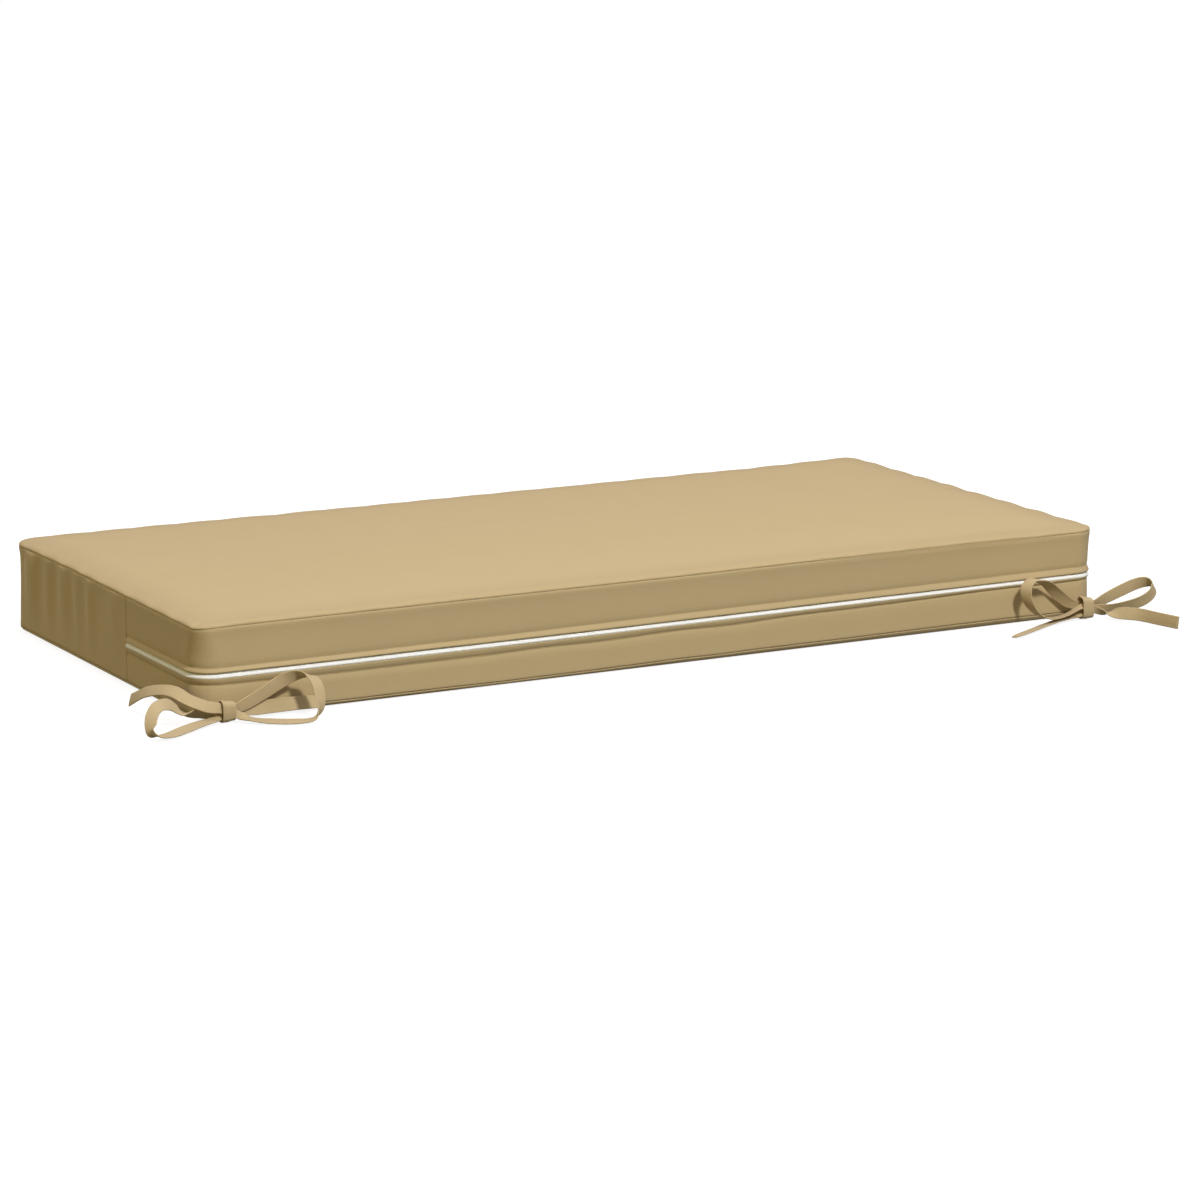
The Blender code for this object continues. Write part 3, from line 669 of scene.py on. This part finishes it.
class ZipSettings(bpy.types.PropertyGroup):
    white: bpy.props.FloatVectorProperty(
        name="Zip", description="Colour of the zip's tape and coil", subtype="COLOR",
        default=(0.95, 0.96, 0.98), min=0.0, max=1.0,
    )
    pitch: bpy.props.FloatProperty(
        name="Pitch", description="Distance between turns of the coil", unit="LENGTH",
        default=1.25 * MM, precision=5,
    )
    stitch: bpy.props.FloatProperty(
        name="Stitch", description="Distance between stitches of a seam", unit="LENGTH",
        default=3.2 * MM, precision=4,
    )


class TieSettings(bpy.types.PropertyGroup):
    strap: bpy.props.FloatVectorProperty(
        name="Strap", description="Colour of the ties' straps", subtype="COLOR",
        default=(0.505, 0.392, 0.226), min=0.0, max=1.0,
    )
    thickness: bpy.props.FloatProperty(
        name="Thickness", description="Thickness of the folded strap", unit="LENGTH",
        default=1.3 * MM, precision=4,
    )


class StageSettings(bpy.types.PropertyGroup):
    front: bpy.props.FloatProperty(
        name="Front light", description="Power of the light from the front", unit="POWER",
        default=124.0,
    )
    overhead: bpy.props.FloatProperty(
        name="Overhead light", description="Power of the light above", unit="POWER", default=35.0,
    )
    lens: bpy.props.FloatProperty(
        name="Lens", description="Focal length in millimetres on a 36 mm sensor", default=122.73,
    )


def smooth_rows(rows, step):
    """Rows of numbers along a smooth curve through the given rows, about a step apart."""
    def blend(first, second, start, end, at):
        return first + (at - start) / (end - start) * (second - first)

    rows = np.asarray(rows, float)
    padded = np.vstack([2 * rows[0] - rows[1], rows, 2 * rows[-1] - rows[-2]])
    apart = np.linalg.norm(np.diff(padded[:, :3], axis=0), axis=1)
    knots = np.concatenate([[0.0], np.cumsum(apart ** 0.5)])
    made = []
    for index in range(len(rows) - 1):
        p0, p1, p2, p3 = padded[index : index + 4]
        t0, t1, t2, t3 = knots[index : index + 4]
        steps = max(2, math.ceil(np.linalg.norm(p2[:3] - p1[:3]) / step))
        for part in range(steps):
            t = t1 + (t2 - t1) * part / steps
            middle = blend(p1, p2, t1, t2, t)
            early = blend(blend(p0, p1, t0, t1, t), middle, t0, t2, t)
            late = blend(middle, blend(p2, p3, t2, t3, t), t1, t3, t)
            made.append(blend(early, late, t1, t2, t))
    made.append(rows[-1])
    return np.array(made)


def strap_piece(name, table, knot_x, thickness, seed, material):
    """Flat strap along its table, slightly cupped, with thicker folded edges. Gives its line too."""
    table = np.array([(*row, FULL_WIDTH)[:7] for row in table])
    places = table[:, :3] * (MM, -MM, MM) + (knot_x, FRONT, 0.0)
    across = table[:, 3:6] * (1.0, -1.0, 1.0)
    rows = smooth_rows(np.hstack([places, across, table[:, 6:] * MM]), STRAP_STEP)
    centres = rows[:, :3]
    along = unit(np.gradient(centres, axis=0))
    across = rows[:, 3:6] - np.sum(rows[:, 3:6] * along, axis=1, keepdims=True) * along
    across = unit(across)
    face = np.cross(along, across)
    run = lengths_along(centres)
    upper = np.array(STRAP_SECTION)
    section = np.vstack([upper, -upper])
    wander = ripple(run, STRAP_WANDER, seed) * 0.12 * MM
    cup = 0.25 * MM * (1.0 - section[:, 0] ** 2)
    grid = (
        centres[:, None]
        + section[None, :, :1] * across[:, None] * rows[:, None, 6:] / 2
        + (section[None, :, 1, None] * thickness / 2 + cup[None, :, None]) * face[:, None]
        + wander[:, None, None] * face[:, None]
    )
    turned = np.append(section[:, 0], section[0, 0])
    return lofted(name, grid, weave_of(run, turned * STRAP_WIDTH / 2), material), centres


def wrap_piece(name, table, knot_x, thickness, material):
    """Knot: one turn of strap round the others, creased where it is pulled tight."""
    table = np.array(table) * MM
    edges = [
        np.column_stack([np.full(len(table), knot_x + side), FRONT - table[:, out], table[:, out + 1]])
        for side, out in ((-STRAP_WIDTH / 2, 0), (STRAP_WIDTH / 2, 2))
    ]
    rows = smooth_rows(np.hstack(edges), WRAP_STEP)
    run = lengths_along(rows[:, :3])
    shares, heights = np.array(STRAP_SECTION).T
    section = np.concatenate([shares, -shares])
    depth = np.concatenate([heights, -heights])
    mix = (section[None, :, None] + 1) / 2
    middle = rows[:, None, :3] * (1 - mix) + rows[:, None, 3:] * mix
    along = unit(np.gradient(middle, axis=0))
    across = unit(rows[:, 3:] - rows[:, :3])[:, None]
    face = unit(np.cross(along, np.broadcast_to(across, along.shape)))
    creases = sum(
        height * np.exp(-(((section - place - lean * np.sin(run[:, None] / length)) / width) ** 2))
        for place, width, height, lean, length in WRAP_CREASES
    )
    lift = depth[None] * thickness / 2 + creases * MM * smooth_share(1 - np.abs(section), 0.0, 0.3)
    grid = middle + face * lift[:, :, None]
    return lofted(name, grid, weave_of(run, np.append(section, section[0]) * STRAP_WIDTH / 2), material)


def drift(run, rises):
    """Rise of a part of the zipped side at a run, from its table."""
    return np.interp(short_way(run), DRIFT_RUNS, np.array(rises) * MM)


def side_rise(run, height):
    """Height that the side gains at a run and height (metres): its two seams aren't quite level."""
    run = short_way(run)
    upper = np.interp(run, RISE_RUNS, np.array(RISES) * MM) * smooth_share(height, 48 * MM, 88 * MM)
    lower = drift(run, RIM_DRIFT) + ripple(run, *RIM_RIPPLE) * 0.4 * MM
    near_rim = smooth_share(height, 0.2 * MM, 5 * MM) * (1 - smooth_share(height, 9 * MM, 24 * MM))
    return upper + lower * near_rim


def lower_lip(runs):
    """Heights of the lower zip cloth's folded lip, from its stitched crease, and of its top (mm)."""
    tall = np.interp(runs, LIP_RUNS, LIP_HEIGHTS) + ripple(runs, *LIP_HEIGHT_RIPPLE) * 0.7
    top = LIP_TOP + drift(runs, LOWER_DRIFT) / MM + ripple(runs, *LIP_TOP_RIPPLE) * 0.35
    return np.minimum(tall, MOST_LIP), top


def flush_seam(run):
    """Share of the top seam's groove that is closed: it fades along the right part of the front."""
    run = short_way(run)
    faded = smooth_share(run, *CLOSING) * (1.0 - smooth_share(run, *OPENING))
    return SEAM_FILL + (1.0 - SEAM_FILL) * faded


def gathers(run):
    """Offset of the short sides' gathers at their fullest, along the edge."""
    places, tilts = np.array(LEFT_GATHERS).T
    fine = np.linspace(places[0], places[-1], 600)
    lean = np.interp(fine, places, tilts)
    lean = np.convolve(np.pad(lean, 8, "edge"), np.ones(17) / 17, "valid")
    folds = np.cumsum(lean) * (fine[1] - fine[0])
    folds -= np.linspace(folds[0], folds[-1], len(folds))
    run = short_way(run)
    place = np.abs(run) - TURNS[2] + FRONT + CORNER
    left = np.interp(place, fine, folds, 0.0, 0.0)
    right = np.interp(RIGHT_GATHERS_END - place, fine, folds, 0.0, 0.0)
    return np.where(run < 0.0, left, right) / GATHER_SCALE


def side_pieces(context):
    """Side cloths: a plain band round the back, and two zip cloths with folded lips round the front."""
    settings = context.scene.cushion_cover
    cloth = bpy.data.materials["woven_cover_cloth"]

    def swept(name, runs, rows, nodes, fullness):
        """Cloth along runs with rows of heights and offsets (mm), as arrays over runs and rows."""
        heights, offsets = (np.broadcast_to(part, (len(runs), part.shape[-1])) * MM for part in rows)
        outer = offsets > (CLOTH_BACK + 0.05) * MM
        fade = np.interp(heights, GATHER_HEIGHTS, GATHER_SHARES)
        folds = gathers(runs)[:, None] * settings.gather * fade * fullness
        folds = folds + ripple(runs, *SIDE_RIPPLE)[:, None] * 0.15 * MM * fade
        near_seam = flush_seam(runs)[:, None] * (heights > 86 * MM) * (offsets > -MM)
        offsets = offsets + near_seam * (-CLOSED_SIDE - offsets)
        offsets = offsets + (seam_turn(runs)[:, None] + folds) * outer
        grid = along_edge(runs[:, None], offsets, heights + side_rise(runs[:, None], heights))
        line = lengths_along(grid[len(runs) // 2])
        line = np.append(line, line[-1] + 3 * MM)
        return placed(lofted(name, grid, weave_of(runs, line), cloth), "cover_cloth", *nodes)

    def with_back(outer, top=87.0, bottom=10.0):
        inside = CLOTH_BACK - BEHIND_BACK
        back = [(top, CLOTH_BACK), (60, inside), (30, inside), (bottom, CLOTH_BACK)]
        back = [row for row in back if bottom <= row[0] <= top]
        heights, offsets = np.array([*outer, *back], float).T
        return heights, offsets

    def runs_to_seams(first, last):
        return with_seam_ends(runs_between(first + SEAM_GAP, last - SEAM_GAP, *SIDE_STEPS))

    runs = runs_to_seams(SEAM_RUN, EDGE - SEAM_RUN)
    rows = with_back(SIDE_LOW + SIDE_MIDDLE + SIDE_HIGH)
    band = swept("plain_side_cloth", runs, rows, ["boxing_band"], 1.0)
    runs = runs_to_seams(-SEAM_RUN, SEAM_RUN)
    rows = with_back(UPPER_LIP + SIDE_HIGH, 87.0, 50.0)
    edge = (drift(runs, UPPER_DRIFT) / MM + ripple(runs, *LIP_EDGE_RIPPLE) * 0.25)[:, None]
    groove = (drift(runs, STITCH_DRIFT) / MM)[:, None]
    share = np.interp(rows[0], (45, 50.5), (0, 1))
    moved = (edge + share * (groove - edge)) * np.interp(rows[0], (52, 66), (1, 0))
    upper = swept("upper_zip_cloth", runs, (rows[0] + moved, rows[1]), ["zip_strip_upper"], 0.0)

    tall, top = lower_lip(runs)
    low = np.array(SIDE_LOW + SIDE_MIDDLE[:3], float)
    shares, offsets = np.array(LOWER_LIP).T
    lip = top[:, None] + (shares[None] - 1.0) * tall[:, None]
    back = np.array((26.0, 10.0))
    heights = np.hstack([np.tile(low[:, 0], (len(runs), 1)), lip, np.tile(back, (len(runs), 1))])
    heights[:, len(low) - 1] = np.minimum(heights[:, len(low) - 1], heights[:, len(low)] - 1.5)
    offsets = np.concatenate([low[:, 1], offsets, (CLOTH_BACK, CLOTH_BACK)])
    lower = swept("lower_zip_cloth", runs, (heights, offsets), ["zip_strip_lower"], 0.0)


def mesh_points(mesh):
    """A mesh's points as rows of three numbers."""
    flat = np.empty(len(mesh.vertices) * 3)
    mesh.vertices.foreach_get("co", flat)
    return flat.reshape(-1, 3)


def swollen_top(points, faces, crown):
    """Heights that the top gains when the cloth of the cover is blown up over its filling."""
    mesh = bpy.data.meshes.new("cloth_trial")
    mesh.from_pydata(points.tolist(), [], faces)
    trial = linked("cloth_trial", mesh)
    remesh = trial.modifiers.new("Remesh", "REMESH")
    remesh.mode = "VOXEL"
    remesh.voxel_size = VOXEL
    graph = bpy.context.evaluated_depsgraph_get()
    even = bpy.data.meshes.new_from_object(trial.evaluated_get(graph))
    trial.modifiers.clear()
    trial.data = even
    before = mesh_points(even)
    held = trial.vertex_groups.new(name="held")
    inset = np.minimum(LENGTH / 2 - np.abs(before[:, 0]), WIDTH / 2 - np.abs(before[:, 1]))
    fixed = np.flatnonzero((before[:, 2] < HELD_BELOW) | (inset < HELD_MARGIN))
    held.add(fixed.tolist(), 1.0, "REPLACE")
    cloth = trial.modifiers.new("Cloth", "CLOTH")
    cloth.settings.vertex_group_mass = "held"
    cloth.settings.use_pressure = True
    cloth.settings.uniform_pressure_force = PRESSURE
    cloth.settings.effector_weights.gravity = 0.0
    cloth.settings.quality = 4
    scene = bpy.context.scene
    for number in range(1, FRAMES + 1):
        scene.frame_set(number)
    graph = bpy.context.evaluated_depsgraph_get()
    after = mesh_points(trial.evaluated_get(graph).to_mesh())
    polygons = [tuple(polygon.vertices) for polygon in even.polygons]
    trees = [BVHTree.FromPolygons(part.tolist(), polygons) for part in (before, after)]
    trial.evaluated_get(graph).to_mesh_clear()
    bpy.data.objects.remove(trial)
    scene.frame_set(1)
    down = Vector((0.0, 0.0, -1.0))
    gains = np.zeros(len(points))
    for index, (x, y, z) in enumerate(points):
        if z > SIM_TOP:
            hits = [tree.ray_cast(Vector((x, y, 0.5)), down)[0] for tree in trees]
            if None not in hits:
                gains[index] = hits[1].z - hits[0].z
    return crown * np.tanh(np.maximum(gains, 0.0) / crown)


def cover_piece(context):
    """Filled cover: crowned top, flat underside, and edges that turn in at the seams."""
    settings = context.scene.cushion_cover
    runs = runs_between(0.0, EDGE, *COVER_STEPS)[:-1]
    inset, height = np.array(UNDERSIDE + HIDDEN_SIDE + TOP, float).T[:, :, None] * MM
    top = np.zeros(len(inset), bool)
    top[-len(TOP):] = True
    low = height < UNDER_ROWS
    closed = np.zeros(inset.shape)
    closed[-len(TOP) + 1:-len(TOP) + 4] = 1.0
    offset = -inset + closed * flush_seam(runs)[None] * (inset - CLOSED_TOP)
    grid = along_edge(runs[None], offset, height + side_rise(runs[None], height) * low)
    # The crown follows the nearer sides smoothly, with no ridge along the diagonals.
    apart = np.stack([LENGTH / 2 - np.abs(grid[..., 0]), WIDTH / 2 - np.abs(grid[..., 1])])
    soft = np.sum(np.maximum(apart, MM) ** -4.0, axis=0) ** -0.25
    bend = np.maximum(CORNER - apart, 0.0)
    rounded = CORNER - np.maximum(np.hypot(*bend), CORNER - np.min(apart, axis=0))
    near = inset + smooth_share(inset, 3 * MM, 10 * MM) * (np.minimum(rounded, soft) - inset)
    near = near + smooth_share(inset, 15 * MM, 45 * MM) * (soft - near)
    ring = np.array(TOP).T * MM
    crowned = np.interp(near[top], ring[0, 5:], ring[1, 5:])
    grid[top, :, 2] = np.where(inset[top] > TOP_SEAM_INSET, crowned, height[top])
    # The seam's rise and its scallops fade over the top. Inside the edge, where a corner's runs
    # close up, its rise is the one at its middle.
    rise = side_rise(runs, TOP_HEIGHT)
    corners = np.array([(TURNS[1] + TURNS[2]) / 2, (TURNS[3] + TURNS[4]) / 2])
    corners = np.concatenate([corners, -corners])
    away = np.abs(short_way(runs[None] - corners[:, None]))
    by_corner = 1 - smooth_share(away, ARC / 2, CORNER_REACH)
    level = np.sum(by_corner * (side_rise(corners, TOP_HEIGHT)[:, None] - rise), axis=0)
    inner = smooth_share(inset[top], 3 * MM, 12 * MM)
    grid[top, :, 2] += (rise + inner * level) * (1 - smooth_share(near[top], 4 * MM, 150 * MM))
    weight = np.interp(np.abs(short_way(runs)), TURNS, (0.25, 0.5, 1.0, 1.0, 0.5, 0.25))
    waves = (0.7 * ripple(runs, *WIDE_WAVES) + 0.45 * ripple(runs, *FINE_WAVES)) * weight
    spaced = runs + 9 * MM * ripple(runs, *SCALLOP_RIPPLE)
    scallops = np.abs(np.sin(math.pi * spaced / SCALLOP_LENGTH))
    waves = waves * WAVE_HEIGHT + (scallops - 0.6) * weight * SCALLOP_HEIGHT
    swell = np.interp(inset[top], SWELL_INSETS, SWELL_SHARES)
    swell[:5] = 0.0
    grid[top, :, 2] += waves * swell * (1 - inner * np.sum(by_corner, axis=0))
    rows, columns = grid.shape[:2]
    sides, caps = loft_faces(rows, columns)
    outward = [(a, d, c, b) for a, b, c, d in sides] + [caps[0][::-1], caps[1]]
    gains = swollen_top(grid.reshape(-1, 3), outward, settings.crown).reshape(rows, columns)
    grid[..., 2] += gains * smooth_share(inset, 2 * MM, 14 * MM) * top[:, None]
    weave = np.concatenate([grid[..., :2], grid[:, :1, :2]], axis=1)
    # Distance from the nearest seam, by which the panel's finish paints shade into its colour.
    seam = np.where(top[:, None] & (inset > TOP_SEAM_INSET), near, np.minimum(inset, TOP_SEAM_INSET))
    piece = lofted("padded_cover", grid, weave, bpy.data.materials["woven_panel_cloth"], seam)
    placed(piece, "cover_cloth", "cushion_body")


class CUSHION_OT_stage(bpy.types.Operator):
    """Camera at the photograph's angle, pale floor and soft light"""

    bl_idname = "cushion.stage"
    bl_label = "Stage"

    def execute(self, context):
        settings = context.scene.cushion_stage
        scene = context.scene
        turn, rise = math.radians(CAMERA_TURN), math.radians(CAMERA_RISE)
        share = math.cos(rise)
        back = Vector((math.sin(turn) * share, -math.cos(turn) * share, math.sin(rise)))
        right = (-back).cross(Vector((0.0, 0.0, 1.0))).normalized()
        up = right.cross(-back)
        data = bpy.data.cameras.new("camera")
        data.lens = settings.lens
        data.sensor_width = 36.0
        data.sensor_fit = "HORIZONTAL"
        data.clip_end = 200.0
        camera = linked("camera", data)
        place = back * CAMERA_BACK + right * CAMERA_RIGHT + up * CAMERA_UP
        aim = Matrix((right, up, back)).transposed()
        camera.matrix_world = Matrix.Translation(place) @ aim.to_4x4()
        scene.camera = camera
        scene.view_settings.view_transform = "Standard"

        floor_mesh = bpy.data.meshes.new("floor")
        rim = [(x * FLOOR_REACH, y * FLOOR_REACH, 0) for x, y in ((-1, -1), (1, -1), (1, 1), (-1, 1))]
        floor_mesh.from_pydata(rim, [], [(0, 1, 2, 3)])
        floor = linked("floor", floor_mesh)
        floor.location.z = -FLOOR_DROP
        floor.visible_diffuse = False
        matt = {"Roughness": 0.9, "Specular IOR Level": 0.0}
        material, finish, shader = new_finish("pale_floor", matt)
        place = finish.node("ShaderNodeTexCoord", (), (), "Object")
        speckle = finish.mix(finish.noise(place, 40.0), (0.3, 0.3, 0.3, 1), (0.34, 0.34, 0.34, 1))
        finish.feed(shader.inputs["Base Color"], speckle)
        shader.inputs["Emission Color"].default_value = (1.0, 1.0, 1.0, 1.0)
        shader.inputs["Emission Strength"].default_value = FLOOR_GLOW
        floor_mesh.materials.append(material)

        world = bpy.data.worlds.new("studio")
        world.use_nodes = True
        sky = Finish(world.node_tree)
        direction = sky.node("ShaderNodeTexCoord", (), (), "Generated")
        height = sky.node("ShaderNodeSeparateXYZ", (), {0: direction}, 2)
        dot = {"operation": "DOT_PRODUCT"}
        left = sky.node("ShaderNodeVectorMath", dot, {0: direction, 1: LEFT_WAY}, 1)
        level = sky.mix(sky.ramp(left, 0.0, 0.7), HORIZON_COLOUR, LEFT_COLOUR)
        high = sky.mix(sky.ramp(height, 0.1, 0.9), level, ZENITH_COLOUR)
        glow = sky.mix(sky.ramp(height, -0.12, 0.12), BELOW_COLOUR, high)
        sky.feed(world.node_tree.nodes["Background"].inputs["Color"], glow)
        scene.world = world

        for name, power, place, size, colour in LAMPS:
            lamp_data = bpy.data.lights.new(name, "AREA")
            lamp_data.size = size
            lamp_data.energy = getattr(settings, power)
            lamp_data.color = colour
            lamp = linked(name, lamp_data)
            lamp.location = place
            lamp.rotation_euler = Vector(place).to_track_quat("Z", "Y").to_euler()
        return {"FINISHED"}


class CUSHION_OT_bows(bpy.types.Operator):
    """Two bows: two flat straps each, and the wrap of the knot that holds them"""

    bl_idname = "cushion.bows"
    bl_label = "Tied bows"

    def execute(self, context):
        settings = context.scene.cushion_ties
        thickness = settings.thickness
        cloth = strap_finish("strap_cloth", tuple(settings.strap), STRAP_TWILL, 0.35)
        left = (("a", TIE_LEFT_A, 21), ("b", TIE_LEFT_B, 22))
        right = (("a", TIE_RIGHT_A, 23), ("b", TIE_RIGHT_B, 24))
        for side, knot_x, wrap_x, wrap, straps in (
            ("left", LEFT_KNOT_X, LEFT_KNOT_X, LEFT_WRAP, left),
            ("right", RIGHT_KNOT_X, RIGHT_WRAP_X, RIGHT_WRAP, right),
        ):
            knot = wrap_piece(f"knot_wrap_{side}", wrap, wrap_x, thickness, cloth)
            placed(knot, "tie_strap", f"tie_{side}_knot")
            for letter, table, seed in straps:
                name = f"strap_{side}_{letter}"
                strap, line = strap_piece(name, table, knot_x, thickness, seed, cloth)
                placed(strap, "tie_strap", f"tie_{side}_{letter}")
                [knot] if letter == "a" else []
        return {"FINISHED"}


class CUSHION_OT_cover(bpy.types.Operator):
    """Filled cover with its top and underside"""

    bl_idname = "cushion.cover"
    bl_label = "Filled cover"

    def execute(self, context):
        settings = context.scene.cushion_cover
        woven_finish("woven_cover_cloth", tuple(settings.cloth), settings.thread, 0.35, 0.06)
        # The panel's cloth is the same cloth with shade painted into its colour near its seams.
        woven_finish("woven_panel_cloth", tuple(settings.cloth), settings.thread, 0.35, 0.06, True)
        cover_piece(context)
        return {"FINISHED"}


class CUSHION_OT_sides(bpy.types.Operator):
    """Side cloths between the top and bottom seams"""

    bl_idname = "cushion.sides"
    bl_label = "Side cloths"

    def execute(self, context):
        side_pieces(context)
        return {"FINISHED"}


class CUSHION_OT_zip(bpy.types.Operator):
    """Zip tape with its closed coil"""

    bl_idname = "cushion.zip"
    bl_label = "Zip"

    def execute(self, context):
        settings = context.scene.cushion_zip
        tape = woven_finish("zip_tape_weave", tuple(settings.white), TAPE_THREAD, 0.3, 0.0)
        coil = filament_finish("zip_coil_filament", tuple(settings.white), 0.38)
        runs = runs_between(-SEAM_RUN + 0.6 * MM, SEAM_RUN - 0.6 * MM, *TAPE_STEPS)
        heights, offsets = np.array(TAPE).T * MM
        raised = heights + drift(runs, COIL_DRIFT)[:, None]
        grid = along_edge(runs[:, None], offsets, raised)
        weave = weave_of(runs, np.append(heights, heights[0]))
        placed(lofted("zip_tape_strip", grid, weave, tape), "zip_tape", "zip_tape")
        runs = np.arange(-SEAM_RUN + 1.2 * MM, SEAM_RUN - 1.2 * MM, settings.pitch / 2)
        hands = np.where(np.arange(len(runs)) % 2 == 0, 1.0, -1.0)
        heights = COIL_HEIGHT * MM + hands * COIL_SHIFT * MM + drift(runs, COIL_DRIFT)
        middle = along_edge(runs, (COIL_FACE - COIL_LEAN * COIL_SHIFT * hands) * MM, heights)
        travel, outs = edge_ways(runs, COIL_FACE * MM, 0.0, 0.5 * MM)
        upright = unit(np.array((0.0, 0.0, 1.0)) + travel * 0.1 - outs * COIL_LEAN)
        outs = unit(np.cross(travel, upright))
        placed(rods("zip_coil_turns", middle, upright, outs, COIL_TURN, coil), "zip_tape")
        return {"FINISHED"}


class CUSHION_OT_stitches(bpy.types.Operator):
    """Rows of stitches that hold the zip cloths"""

    bl_idname = "cushion.stitches"
    bl_label = "Stitches"

    def execute(self, context):
        step = context.scene.cushion_zip.stitch
        colour = tuple(channel * 0.93 for channel in context.scene.cushion_cover.cloth)
        thread = filament_finish("sewing_thread", colour, 0.6)
        runs = np.arange(-SEAM_RUN + 4 * MM, SEAM_RUN - 4 * MM, step)
        tall, top = lower_lip(runs)
        for name, heights in (
            ("stitches_above_zip", STITCH_HEIGHT + drift(runs, STITCH_DRIFT) / MM),
            ("stitches_below_zip", top - tall),
        ):
            centres = along_edge(runs, STITCH_FACE, heights * MM)
            travel, outs = edge_ways(runs, STITCH_FACE, heights * MM, MM)
            row = rods(name, centres, travel, outs, (step * STITCH_SHARE, *STITCH_SECTION), thread)
            placed(row, "cover_cloth")
        return {"FINISHED"}


class CUSHION_PT_panel(bpy.types.Panel):
    bl_idname = "CUSHION_PT_panel"
    bl_label = "Bench cushion"
    bl_space_type = "VIEW_3D"
    bl_region_type = "UI"
    bl_category = "Cushion"

    def draw(self, context):
        for owner, group in GROUPS.items():
            for name in group.__annotations__:
                self.layout.prop(getattr(context.scene, owner), name)
        for operator in OPERATORS:
            self.layout.operator(operator.bl_idname)


GROUPS = {
    "cushion_cover": CoverSettings,
    "cushion_zip": ZipSettings,
    "cushion_ties": TieSettings,
    "cushion_stage": StageSettings,
}
OPERATORS = (
    CUSHION_OT_stage,
    CUSHION_OT_bows,
    CUSHION_OT_cover,
    CUSHION_OT_sides,
    CUSHION_OT_zip,
    CUSHION_OT_stitches,
)


def register():
    for kind in (*GROUPS.values(), *OPERATORS, CUSHION_PT_panel):
        bpy.utils.register_class(kind)
    for name, group in GROUPS.items():
        setattr(bpy.types.Scene, name, bpy.props.PointerProperty(type=group))


def unregister():
    for name in GROUPS:
        delattr(bpy.types.Scene, name)
    for kind in reversed((*GROUPS.values(), *OPERATORS, CUSHION_PT_panel)):
        bpy.utils.unregister_class(kind)


def main():
    register()
    for operator in OPERATORS:
        group, name = operator.bl_idname.split(".")
        getattr(getattr(bpy.ops, group), name)()


if __name__ == "__main__":
    main()
